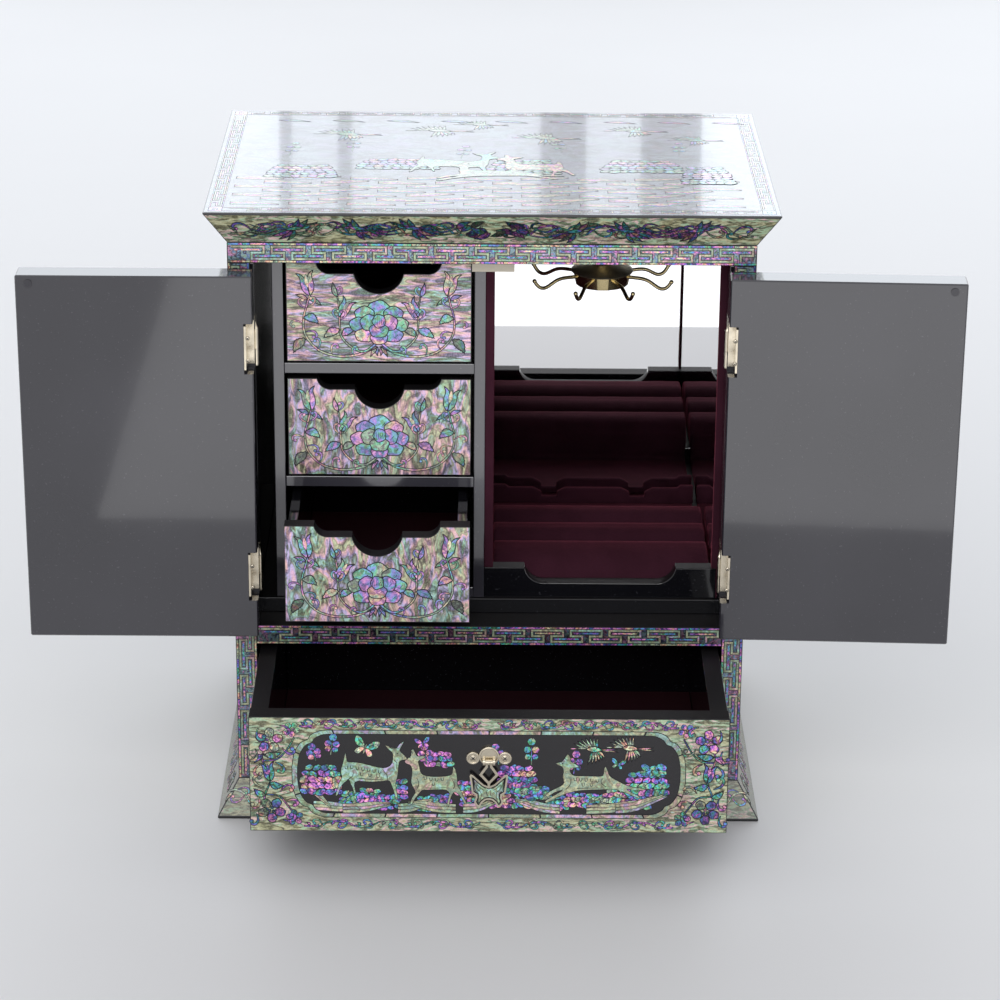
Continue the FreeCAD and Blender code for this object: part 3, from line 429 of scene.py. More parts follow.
class Inlay:
    def __init__(self):
        self.tiles, self.shift, self.turn, self.mirrored, self.run = [], 0j, 1 + 0j, False, 0

    # what is drawn inside is moved, turned, sized or mirrored
    @contextmanager
    def inside(self, shift=0j, turn=1 + 0j, mirror=False):
        kept = self.shift, self.turn, self.mirrored
        if self.mirrored:
            shift, turn = complex(shift).conjugate(), complex(turn).conjugate()
        self.shift, self.turn = self.shift + self.turn * shift, self.turn * turn
        if mirror:
            self.turn, self.mirrored = -self.turn, not self.mirrored
        yield
        self.shift, self.turn, self.mirrored = kept

    def twice(self):  # once as drawn and once mirrored left to right
        for mirror in (False, True):
            with self.inside(mirror=mirror):
                yield

    def tile(self, outline, hue=0.5, lift=0.5, rim=0.25, kind=shellKind, run=0):
        outline = [self.shift + self.turn * (p.conjugate() if self.mirrored else p) for p in outline]
        if signedArea(outline) < 0:
            outline = outline[::-1]
        hue = tones.get(hue, hue) + dice.uniform(-0.04, 0.04)
        self.tiles.append((outline, hue, lift + dice.uniform(-0.08, 0.08), round(rim, 2), kind, run))

    def levels(self):  # how many slips lie under each one, where slips of one run never cover each other
        cells, boxes, found = {}, [], []
        for i, tile in enumerate(self.tiles):
            xs, ys = [p.real for p in tile[0]], [p.imag for p in tile[0]]
            x1, x2, y1, y2 = min(xs), max(xs), min(ys), max(ys)
            across, along = (range(int(low // 9), int(high // 9) + 1) for low, high in ((x1, x2), (y1, y2)))
            here = [(a, b) for a in across for b in along]
            level = 0
            for j in {j for cell in here for j in cells.get(cell, ())}:
                a1, a2, b1, b2 = boxes[j]
                sameRun = tile[5] and tile[5] == self.tiles[j][5]
                if a1 < x2 and x1 < a2 and b1 < y2 and y1 < b2 and not sameRun:
                    level = max(level, found[j])
            found.append(level + 1)
            boxes.append((x1, x2, y1, y2))
            for cell in here:
                cells.setdefault(cell, []).append(i)
        return found

    def ink(self, line, widths=(0.15, 0.28, 0.1)):  # a scored line on top of the shell
        self.tile(ribbon(line, widths), rim=0, kind=inkKind)

    def leaf(self, root, tip, width, bend=0.0, hue="green", lift=0.5, teeth=0, vein=True):
        span = tip - root
        side = span / abs(span) * 1j
        spine = [root + span * t + side * bend * 4 * t * (1 - t) for t in (0, 0.2, 0.4, 0.6, 0.8, 1)]
        shares = (0.1, 0.75, 1.0, 0.85, 0.5, 0.0)
        edge = [p + side * width / 2 * w for p, w in zip(spine, shares)]
        other = [p - side * width / 2 * w for p, w in zip(spine, shares)][1:-1]
        outline = smooth(edge + other[::-1], 3)
        if teeth:
            outline = [p + (p - spine[2]) * (0.09 if i % 2 else -0.05) for i, p in enumerate(outline)]
        self.tile(outline, hue, lift, min(0.6, width * 0.2))
        if vein:
            self.ink(smooth([spine[0], spine[2], spine[4]], 4, False), (0.24, 0.14))

    def feather(self, root, tip, width, bend, hue, lift):  # a leaf with no vein
        self.leaf(root, tip, width, bend, hue, lift, vein=False)

    # a tendril with a round end
    def curl(self, root, degrees, size, hand=1, hue="purple", lift=0.5, width=0.9):
        heading, line, p = turned(degrees), [root], root
        for i in range(10):
            p += heading * size * (0.30 - 0.018 * i)
            heading *= turned(hand * (8 + 4.2 * i))
            line.append(p)
        self.tile(ribbon(line, (width * 0.4, width, width * 1.15, width * 0.7)), hue, lift,
                  min(0.36, width * 0.2))
        self.tile(disc(p, width * 0.78, 10), hue, lift + 0.1, min(0.36, width * 0.2))

    def stem(self, points, widths=(1.9, 1.6, 1.2), hue="cream", lift=0.5):
        line = smooth(points, 5, False)
        self.tile(ribbon(line, widths), rim=0, kind=inkKind)
        self.run = run = self.run + 1
        pieces = max(1, len(line) // 8)  # a stem is cut from several slips of shell
        for i in range(pieces):
            part = line[i * (len(line) - 1) // pieces:(i + 1) * (len(line) - 1) // pieces + 1]
            a, b = (widths[0] + (widths[-1] - widths[0]) * t / pieces for t in (i, i + 1))
            slipHue = hue if i % 3 else anyHue("pink", "teal", "green")
            self.tile(ribbon(part, (a - 0.9, b - 0.9)), slipHue, lift, 0, run=run)
        return line

    def blossom(self, center, radius, hues, start=90.0, lift=0.4):  # five loose round petals
        for k in range(5):
            with self.inside(center, turned(start + 72 * k)):
                self.petal(complex(radius * 0.62, 0), radius * 0.40, radius * 0.36, hues[k % len(hues)], lift)
        for k in range(3):
            seed = disc(center + turned(120 * k + start) * radius * 0.16, radius * 0.13, 8)
            self.tile(seed, hues[(k + 2) % len(hues)], lift - 0.15, 0.3)

    def petals(self, center, radius, count, hues, width=1.0, start=90.0, lift=0.5, heart=0.3):
        for k in range(count):
            way = turned(start + 360 * k / count)
            w = radius * width * math.pi / count
            loop = [complex(a * radius, b * w) for a, b in ((0.12, 0), (0.5, 0.62), (0.85, 0.8), (1.02, 0.25),
                                                            (0.95, 0), (1.02, -0.25), (0.85, -0.8),
                                                            (0.5, -0.62))]
            self.tile([center + way * p for p in smooth(loop, 3)], hues[k % len(hues)], lift, radius * 0.06)
        if heart:
            self.tile(disc(center, radius * heart, 12), "cream", 0.6, radius * 0.06)

    def petal(self, center, wide, tall, hue, lift):  # round petal with a waved edge and a scored fold
        loop = [center + complex(wide * math.cos(a), tall * math.sin(a)) * (1 + 0.05 * math.sin(5 * a + wide))
                for a in (math.tau * k / 20 for k in range(20))]
        self.tile(loop, hue, lift, min(0.6, tall * 0.16))
        self.ink([center + complex(wide * 0.5, tall * 0.1), center + complex(wide * 0.15, -tall * 0.35)],
                 (0.4, 0.15))

    def tulip(self, root, degrees, size, hues):
        way = turned(degrees) * size
        for side, hue in ((1, hues[0]), (-1, hues[1])):
            loop = [complex(a, b * side) for a, b in ((0, 0), (0.22, 0.24), (0.55, 0.30), (0.86, 0.28),
                                                      (1.1, 0.40), (0.95, 0.12), (0.6, 0.02))]
            self.tile([root + way * p for p in smooth(loop, 3)], hue, 0.5, 0.55)
            for t in (0.3, 0.5, 0.7):
                self.ink([root + way * complex(t, 0.08 * side), root + way * complex(t + 0.12, 0.22 * side)],
                         (0.18, 0.1))
        bud = drawn(((0.35, 0), (0.65, 0.10), (0.98, 0.03), (0.65, -0.10)))
        self.tile([root + way * p for p in smooth(bud, 3)], hues[2], 0.6, 0.2)

    def strip(self, corners, width, hues, lift, rim):  # pale slips mitred at their corners, on a dark line
        for wide, kind in ((width, inkKind), (width - 2 * rim, paleKind)):
            self.run += 1
            for i, (a, b) in enumerate(zip(corners, corners[1:])):
                before = corners[i - 1] if i else 2 * a - b
                after = corners[i + 2] if i + 2 < len(corners) else 2 * b - a
                way = (b - a) / abs(b - a)
                ends = []
                for p, q, r in ((before, a, b), (a, b, after)):
                    one, two = (q - p) / abs(q - p), (r - q) / abs(r - q)
                    mitre = (one + two) / abs(one + two) * 1j
                    mitre *= wide / 2 / (mitre * (way * 1j).conjugate()).real
                    ends.append((q + mitre, q - mitre))
                self.tile([ends[0][0], ends[0][1], ends[1][1], ends[1][0]], hues[i % len(hues)], lift, 0, kind,
                          self.run)

    def fret(self, length, height=13.0):  # a meander between two edge strips, from 0 to length along x
        lines = max(1, round(length / 25.5))
        period = length / lines
        gap = period * 0.102
        low, mid, high, bar = (height * t for t in (0.2, 0.5, 0.8, 0.092))
        path = []
        for k in range(lines):
            x = (k + 0.5) * period
            path += drawn(((x - period / 2 + gap, high), (x + period / 2 - gap, high),
                           (x + period / 2 - gap, mid), (x + gap, mid), (x + gap, low), (x + period - gap, low),
                           (x + period - gap, mid), (x + period / 2 + gap, mid)))
            # a bright slip inside each turn
            for middle, y in ((x, height * 0.65), (x + period / 2, height * 0.35)):
                reach, half = period / 2 - gap - height * 0.16, height * 0.034
                if middle + reach < length:
                    slip = rect(middle - reach, y - half, middle + reach, y + half)
                    self.tile(slip, anyHue("blue", "purple", "teal", "magenta", "pink"), 0.55, 0)
        path = [p for p in path if p.real < length - 0.3]
        self.strip(path, bar * 1.75, ("cream", "pink", "sage", "cream", "pale", "sage"), 0.62, height * 0.034)
        pieces = max(2, round(length / 14))
        for y in (height * 0.075, height * 0.925):
            for k in range(pieces):
                a, b = length * k / pieces, length * (k + 1) / pieces
                w = height * 0.055
                hue = anyHue("cream", "pink", "sage", "magenta", "teal", "purple")
                self.tile(rect(a, y - w, b, y + w), hue, 0.5, 0.2, run=-1)

    def build(self, name, body, origin, right, up, looks):
        bm = bmesh.new()
        tint = bm.loops.layers.float_color.new("tint")
        mark = bm.faces.layers.int.new("mark")
        crown = bm.faces.layers.int.new("crown")
        groups = {}
        levels = self.levels()
        step = min(proud["step"], proud["most"] / max(levels))  # a slip lies a hair above what it covers
        for i, (outline, _, _, rim, _, _) in enumerate(self.tiles):
            face = bm.faces.new([bm.verts.new((p.real, p.imag, -proud["rooted"])) for p in outline])
            face[mark] = i
            groups.setdefault((rim, len(outline) < 60), []).append(face)
        for (rim, even), faces in groups.items():
            grown = bmesh.ops.extrude_face_region(bm, geom=faces)["geom"]
            tops = [g for g in grown if isinstance(g, bmesh.types.BMFace)]
            for top in tops:
                for v in top.verts:
                    v.co.z = proud["first"] + step * levels[top[mark]]
            if rim:
                bmesh.ops.inset_individual(bm, faces=tops, thickness=rim, depth=0, use_even_offset=even)
            for top in tops:
                top[crown] = 1
        for f in bm.faces:
            _, hue, lift, rim, kind, _ = self.tiles[f[mark]]
            f.material_index = kind if f[crown] else inkKind
            for loop in f.loops:
                loop[tint] = (hue, lift, 0, 1)
        bmesh.ops.triangulate(bm, faces=[f for f in bm.faces if len(f.verts) > 4])
        right, up = Vector(right).normalized(), Vector(up).normalized()
        turn = axes(right, up, right.cross(up))
        mesh = meshOf(bm, name)
        mesh.transform(Matrix.Translation(Vector(origin) * mm) @ turn @ Matrix.Scale(mm, 4))
        newPiece(name, mesh, looks, body)


def inlay(name, body, origin, right, up, looks, draw, *sizes):  # draws a picture and lays it
    art = Inlay()
    draw(art, *sizes)
    art.build(name, body, origin, right, up, looks)


# shell over the outermost face that looks one way
def facePlate(name, node, way, look, body, margin=0.4, rise=0.1):
    way = Vector(way).normalized()
    bm = bmesh.new()
    bm.from_mesh(nodes[node].data)
    bmesh.ops.remove_doubles(bm, verts=bm.verts, dist=plate["weld"] * mm)
    far = max(v.co.dot(way) for v in bm.verts) - plate["sameHeight"] * mm
    other = [f for f in bm.faces if f.normal.dot(way) < plate["flat"] or f.calc_center_median().dot(way) < far]
    bmesh.ops.delete(bm, geom=other, context="FACES")
    bmesh.ops.dissolve_limit(bm, angle_limit=0.02, verts=bm.verts, edges=bm.edges)
    ring = bmesh.ops.inset_region(bm, faces=bm.faces, thickness=margin * mm, use_even_offset=True,
                                  use_boundary=True)
    bmesh.ops.delete(bm, geom=ring["faces"], context="FACES")
    bmesh.ops.translate(bm, vec=way * -plate["rooted"] * mm, verts=bm.verts)
    grown = set(bmesh.ops.extrude_face_region(bm, geom=bm.faces[:])["geom"])
    lifted = [g for g in grown if isinstance(g, bmesh.types.BMVert)]
    bmesh.ops.translate(bm, vec=way * (plate["rooted"] + rise) * mm, verts=lifted)
    for f in bm.faces:
        f.material_index = 0 if f in grown else 1
    bmesh.ops.triangulate(bm, faces=[f for f in bm.faces if len(f.verts) > 4])
    newPiece(name, meshOf(bm, name), (look, blackLacquer), body)


level, upright = (1, 0, 0), (0, 0, 1)
mosaic = (tintShell, inkAndShadeLacquer, inkAndShadeLacquer, paleTint)  # looks for shell, ink, ground and pale slips


# small drawer fronts: two pairs of vines round a peony
def drawerArt(art):
    for _ in art.twice():
        for k, reach in ((-90, 6.5), (-58, 8.5), (-28, 9.5)):
            art.leaf(1.0 + 10j, 1.0 + 10j + turned(k) * reach, 2.6, 0.4, anyHue(), 0.45)
        art.stem([3 + 10j, 11 + 5.2j, 24 + 3.4j, 37 + 7j, 45.5 + 16.5j, 47 + 27j, 44.7 + 37j, 42.8 + 44j],
                 (2.0, 1.7, 1.4))
        art.stem([0.5 + 13j, 8.6 + 6.9j, 16 + 8.5j, 23 + 15.7j, 24.4 + 24j, 24.6 + 34j, 26 + 44j],
                 (1.9, 1.6, 1.2))
        art.tulip(42.8 + 43j, 78, 14.5, (anyHue(), anyHue(), "cream"))
        art.tulip(24.4 + 29j, 118, 12.5, (anyHue(), anyHue(), "sage"))
        art.leaf(25.8 + 42j, 28.5 + 52j, 3.6, -0.7, anyHue(), 0.5)
        art.leaf(24 + 21j, 34.5 + 15.5j, 6.0, 1.2, anyHue(), 0.42, 1)
        art.leaf(23.5 + 17j, 14.2 + 21j, 5.2, -1.2, anyHue(), 0.42, 1)
        art.leaf(47 + 29j, 37.5 + 24.5j, 6.2, -1.8, anyHue(), 0.45, 1)
        art.leaf(45.8 + 15j, 53.5 + 5.5j, 6.4, 1.3, "grey", 0.12, 1)
        art.leaf(43.6 + 41j, 35.5 + 36.5j, 3.4, -0.8, anyHue(), 0.45)
        art.leaf(44 + 40j, 52 + 43.5j, 3.4, 0.8, anyHue(), 0.45)
        for root, way, size, hand in ((24.4 + 27j, 150, 3.4, -1), (24.6 + 27.5j, 30, 3.4, 1),
                                      (47 + 24j, 40, 3.8, -1), (46 + 19j, 160, 3.6, 1), (29 + 4.2j, 70, 3.6, 1),
                                      (44.6 + 36j, 165, 3.4, -1), (45 + 35j, 15, 3.4, 1),
                                      (38.5 + 8j, 125, 3.4, -1), (15.5 + 4j, 60, 2.8, 1),
                                      (26 + 43j, 150, 2.8, -1)):
            art.curl(root, way, size * 1.5, hand, anyHue(), 0.42, 1.5)
    for x, y, wide, tall in ((0, 34.5, 7.2, 6.0), (-9.0, 31.2, 6.4, 5.4), (9.0, 31.2, 6.4, 5.4),
                             (-12.6, 24.4, 6.2, 5.0), (12.6, 24.4, 6.2, 5.0), (-8.6, 17.4, 6.8, 4.8),
                             (8.6, 17.4, 6.8, 4.8), (0, 15.4, 5.8, 4.4), (-6.0, 25.6, 6.0, 5.6),
                             (6.0, 25.6, 6.0, 5.6), (0, 20.6, 6.4, 5.0)):
        art.petal(complex(x, y), wide, tall, anyHue(), 0.5)
    art.petal(0.0 + 26.6j, 4.4, 4.8, "blue", 0.5)
    for k in range(6):
        art.ink(drawn(((1.1 * k - 2.9, 24.4), (1.3 * k - 3.3, 28.6))), (0.34, 0.15))


for body, look in zip(smallDrawers, (streakShell, drawerShell, drawerShell)):
    low, high = extent(nodes[f"{body}_front"].data.vertices)
    middle = ((low.x + high.x) / 2 / mm, low.y / mm, low.z / mm)
    facePlate(f"{body}_pearl", f"{body}_front", (0, -1, 0), look, body)
    inlay(f"{body}_inlay", body, middle, level, upright, (softTint, inkAndShadeLacquer), drawerArt)
print("small drawer fronts inlaid")


# key-fret bands round the doors' opening
case = {"frontY": -109.1, "sideX": 161.8, "sideMiddle": 6.6, "openingX": 148.2, "footZ": 23.4, "shelfZ": 117.9,
        "headZ": 371.7, "friezeZ": 384.7, "headHeight": 348.3}
frontY, sideX, openingX = case["frontY"], case["sideX"], case["openingX"]


def fretArt(art, length, height, edge=0.35):  # a dark ground with a key fret on it
    art.tile(rect(edge, edge, length - edge, height - edge), rim=0.2, kind=groundKind)
    art.fret(length, height)


fretLooks = (tintShell, inkAndShadeLacquer, fretShell, paleTint)
shadedFretLooks = (tintShell, inkAndShadeLacquer, shadedFretShell, paleTint)
# the shelf fret's ground takes the darker fret shell: painted shade
for name, x, z, right, up, length, height, looks in (
        ("ceiling_fret", -sideX, case["headZ"], level, upright, 2 * sideX, 13.0, fretLooks),
        ("shelf_fret", -openingX, case["shelfZ"], level, upright, 2 * openingX, 13.0, shadedFretLooks),
        ("sill_fret", -openingX, case["footZ"], level, upright, 2 * openingX, 13.0, fretLooks),
        ("left_side_fret", -openingX, case["footZ"], upright, (-1, 0, 0), case["headHeight"], 13.6, fretLooks),
        ("right_side_fret", sideX, case["footZ"], upright, (-1, 0, 0), case["headHeight"], 13.6, fretLooks)):
    inlay(name, "case", (x, frontY, z), right, up, looks, fretArt, length, height)
print("frets laid")


# wide drawer front: rosettes and scrolls round a long cartouche with deer, cranes and butterflies
def longRound(half, low, high, radius):  # a field with rounded ends, each corner nicked by a small cusp
    bends = ((0, 0), (0.30, 0.02), (0.52, 0.13), (0.61, 0.26), (0.77, 0.34), (0.93, 0.60), (1, 1))
    quarter = smooth([complex(a, b) * radius for a, b in bends], 4, False)
    top = [complex(half - radius + p.real, high - p.imag) for p in quarter]
    side = top + [complex(p.real, low + high - p.imag) for p in top[::-1]]
    return side + [-p.conjugate() for p in side[::-1]]


def rimSlips(art, outer, inner, length=30.0, rim=0.45):  # a frame between two loops, cut into slips
    art.run += 1
    pairs = []
    for k, (a, b) in enumerate(zip(outer, inner)):
        c, d = outer[(k + 1) % len(outer)], inner[(k + 1) % len(inner)]
        cuts = max(1, round(abs(c - a) / length))
        pairs += [(a + (c - a) * i / cuts, b + (d - b) * i / cuts) for i in range(cuts)]
    start = 0
    while start < len(pairs):
        end = start + 1
        while end < len(pairs) and abs(pairs[end][0] - pairs[start][0]) < length * 0.9:
            end += 1
        ring = [pairs[i % len(pairs)] for i in range(start, end + 1)]
        loop = [r[0] for r in ring] + [r[1] for r in ring[::-1]]
        hue = anyHue("cream", "pink", "sage", "teal", "pale", "purple", "green")
        art.tile(loop, hue, 0.6, rim, paleKind, run=art.run)
        start = end


def spots(art, marks):  # small cups scored in a coat
    for x, y in marks:
        cup = drawn(((x - 0.9, y + 1.0), (x - 0.5, y - 1.0), (x + 0.5, y - 0.9), (x + 0.9, y + 1.1)))
        art.ink(smooth(cup, 3, False), (0.42, 0.42, 0.25))


def figure(art, outline, hue, lift=0.7, lines=()):  # an animal with its scored lines
    art.tile(smooth(drawn(outline), 2), hue, lift, 0.30, paleKind)
    for line in lines:
        art.ink(smooth(drawn(line), 4, False), (0.5, 0.4, 0.2))


standingDeer = [(-50.8, 51.1), (-52.5, 53), (-54.5, 55.3), (-53.6, 57.9), (-51.9, 61.5), (-54.8, 59.9),
                (-56.7, 57), (-58.8, 57.3), (-61.3, 58.3), (-63.6, 58.9), (-61.9, 56.3), (-59.5, 54),
                (-59, 51.4), (-59.3, 47.8), (-61, 44.9), (-65, 43.6), (-71.1, 44.9), (-77.9, 46.8),
                (-83.4, 47.5), (-86.5, 47.5), (-87.1, 50.1), (-87.9, 53.7), (-89, 49.8), (-89.6, 46.5),
                (-90.7, 43.2), (-91, 39.7), (-90.2, 37.4), (-91.7, 34.1), (-92.7, 31.2), (-93.6, 27.6),
                (-94.4, 24.6), (-93, 24.6), (-91.7, 27.9), (-90.2, 31.5), (-87.7, 34.1), (-85.9, 35.1),
                (-85, 32.5), (-83.7, 29.5), (-82.8, 25.9), (-81.6, 25.9), (-82.1, 29.5), (-82.4, 32.8),
                (-80.1, 34.4), (-72.7, 33.8), (-65, 34.4), (-61.3, 34.8), (-59.8, 31.5), (-58.2, 26.6),
                (-57.3, 22), (-55.9, 22), (-56.4, 27.2), (-57.2, 32.8), (-56.1, 37), (-55.5, 41.3),
                (-55.3, 45.2), (-54.5, 48.1), (-52.4, 48.8), (-50.2, 49.4)]
fawn = [(-51.8, 48.1), (-49.9, 50.1), (-47.8, 52.1), (-47.9, 55.3), (-46.4, 56.3), (-45, 53.7), (-43.8, 51.7),
        (-41.3, 52.1), (-38.5, 51.4), (-41, 49.4), (-43.2, 48.1), (-42.5, 44.9), (-41.9, 41.3), (-40.1, 39),
        (-35.8, 38), (-29.6, 38), (-24.4, 38.7), (-22.6, 40.3), (-21.9, 44.6), (-20.4, 42.6), (-19.6, 39),
        (-19.2, 35.1), (-18.9, 31.5), (-17, 28.2), (-15.2, 24), (-13.6, 19.7), (-15, 19.4), (-17, 23.3),
        (-19.5, 26.6), (-21.3, 27.2), (-22.9, 24.3), (-23.8, 21), (-24.6, 17.5), (-25.9, 17.5), (-25.2, 22),
        (-24.4, 26.3), (-26.3, 28.6), (-31.8, 28.9), (-37.9, 28.6), (-41, 28.2), (-43.5, 25), (-45.6, 22),
        (-46.9, 19.1), (-48.4, 19.1), (-47.5, 23), (-45.3, 26.9), (-46.5, 30.2), (-47.8, 33.5), (-47.5, 38.3),
        (-47.2, 42.6), (-48.4, 45.5), (-50.8, 46.5)]
leapingDeer = [(41.1, 47.5), (44.5, 48.5), (46.3, 50.8), (48.2, 53.7), (50, 51.1), (50.3, 48.5), (52.8, 47.2),
               (55.5, 44.9), (52.1, 44.2), (50, 43.6), (50.3, 41), (52.8, 39), (59.5, 39), (66.6, 38.7),
               (70, 39.3), (70.3, 42.6), (71.4, 45.5), (73.1, 42.3), (74.3, 39), (78, 36.4), (83.2, 33.5),
               (88.7, 31.5), (95.5, 30.5), (95.5, 29.2), (88.7, 29.2), (84.4, 30.2), (89, 27.2), (92.7, 25),
               (92.1, 23.7), (85.7, 26.6), (78, 29.5), (70.3, 29.5), (62, 29.2), (54.9, 28.6), (49.4, 27.2),
               (43.2, 24.6), (36.8, 20.7), (34.6, 20.7), (35.5, 22.4), (41.4, 26.3), (45.4, 29.2), (40.2, 27.2),
               (36.5, 24.6), (34.6, 25.3), (38, 28.6), (43.8, 31.8), (46, 34.1), (45.1, 38), (45.7, 41.3),
               (44.8, 44.9), (42.3, 45.9)]


def crane(art, x, y, size, hue="pale"):  # flies left, drawn feather by feather
    with art.inside(complex(x, y), size):
        for k in range(7):
            root = complex(7.5 + k * 0.7, 0.5)
            art.feather(root, root + turned(160 - 12 * k) * (10.5 - 0.5 * k), 1.7, 0.4, hue, 0.75)
        for k in range(6):
            root = complex(8.5 + k * 0.7, -0.5)
            art.feather(root, root + turned(11 * k - 105) * (9.5 - 0.6 * k), 1.7, 0.4,
                        anyHue("cream", "teal", "sage"), 0.7)
        art.feather(-0.5 + 0.6j, 7 + 0.4j, 1.6, 0.5, hue, 0.8)
        art.feather(-4.4 + 0.5j, 0.4 + 0.6j, 0.8, 0.1, "cream", 0.8)
        art.feather(5.0 + 0.3j, 15.5 - 0.4j, 4.2, 0.4, hue, 0.8)
        art.feather(13.5 - 0.6j, 24 - 1.6j, 1.3, 0.4, "cream", 0.6)
        art.feather(13.5 + 0.2j, 23.5 + 0.6j, 1.2, -0.4, "pink", 0.6)


def butterfly(art, x, y, size, degrees, hues=("pale", "cream")):
    with art.inside(complex(x, y), turned(degrees) * size):
        for _ in art.twice():
            art.tile(smooth([0.2 + 0.6j, 2.2 + 3.8j, 4.8 + 4.4j, 4.6 + 1.8j, 2.4 + 0.2j], 4), hues[0], 0.7,
                     0.26)
            art.tile(smooth([0.1 + 0.2j, 2.6 - 0.2j, 3.6 - 2.2j, 1.8 - 2.8j], 4), hues[1], 0.7, 0.26)
            art.ink([1.2 + 1.4j, 3.6 + 3.2j], (0.3, 0.15))
        art.feather(-2.6j, 2.8j, 0.9, 0, "grey", 0.3)


def bush(art, x, y, rows, spread, hues, size=4.4):  # clouds of round leaves in tiers, the upper ones behind
    for row in range(rows - 1, -1, -1):
        wide = spread * (1 - 0.45 * (row / rows) ** 2)
        count = max(2, round(2 * wide / (size * 0.95)))
        for k in range(count):
            across = x - wide + 2 * wide * (k + 0.5) / count + dice.uniform(-0.5, 0.5)
            center = complex(across, y + row * size * 0.82 + dice.uniform(-0.5, 0.5))
            r = size * dice.uniform(0.46, 0.68)
            hue = hues[row % len(hues)] if dice.random() < 0.8 else anyHue()
            with art.inside(center, turned(dice.uniform(-40, 40))):
                art.petal(0j, r * 1.2, r * 0.82, hue, dice.uniform(0.3, 0.8))


def sprig(art, x, y, height, hues, lean=0.0):  # upright stem with round leaves
    with art.inside(complex(x, y), turned(lean)):
        art.tile(ribbon([0j, complex(0, height * 0.7)], (0.8, 0.5)), "green", 0.4, 0.12)
        for root, way, r in ((0.75, 90, 3.0), (0.55, 160, 2.7), (0.55, 20, 2.7), (0.3, 170, 2.3),
                             (0.3, 10, 2.3)):
            c = complex(0, height * root) + turned(way) * r
            leaf = [c + turned(30 * i) * r * (0.85 if i % 2 else 0.92) for i in range(12)]
            art.tile(leaf, anyHue(*hues), dice.uniform(0.4, 0.6))
            art.ink([complex(0, height * root), c + turned(way) * r * 0.4], (0.25, 0.12))


def wave(art, x, y, length, rise, hues):  # curved bands of water or rock, one for each hue
    for k, hue in enumerate(hues):
        line = drawn(((x, y + 2.2 * k), (x + length * 0.35, y + rise * 0.15 + 2.0 * k),
                      (x + length * 0.7, y + rise * 0.6 + 1.6 * k), (x + length, y + rise + 0.8 * k)))
        art.tile(ribbon(smooth(line, 5, False), (2.0, 3.0, 0.7)), hue, 0.68, 0.30, paleKind)


# rolling vine with curls and leaves
def scrollRun(art, start, end, y, amplitude, hues, wavelength=17.0, lift=0.35, bold=1.0):
    count = max(2, round((end - start) / wavelength))
    step = (end - start) / count
    size = min(amplitude * 1.5, step * 0.5)
    for k in range(count):
        x, up = start + k * step, 1 if k % 2 else -1
        hue, next1, next2 = (hues[(k + i) % len(hues)] for i in range(3))
        line = [complex(x + a * step, y + up * amplitude * b)
                for a, b in ((0, -0.5), (0.3, 0.3), (0.65, 0.6), (1, 0.5))]
        art.tile(ribbon(smooth(line, 4, False), (1.1 * bold, 1.8 * bold, 1.3 * bold)), hue, lift, 0.3)
        low, high = (complex(x + step * a, y + up * amplitude * b) for a, b in ((0.25, 0.2), (0.6, 0.6)))
        art.curl(low, -60 * up, size, up, next1, lift, 1.4 * bold)
        art.curl(high, 150 * up, size * 0.8, up, next2, lift - 0.1, 1.3 * bold)
        root = complex(x + step * 0.75, y + up * amplitude * 0.5)
        art.feather(root, root + turned(-50 * up) * amplitude * 1.2, 2.2, 0.5, hue, lift)


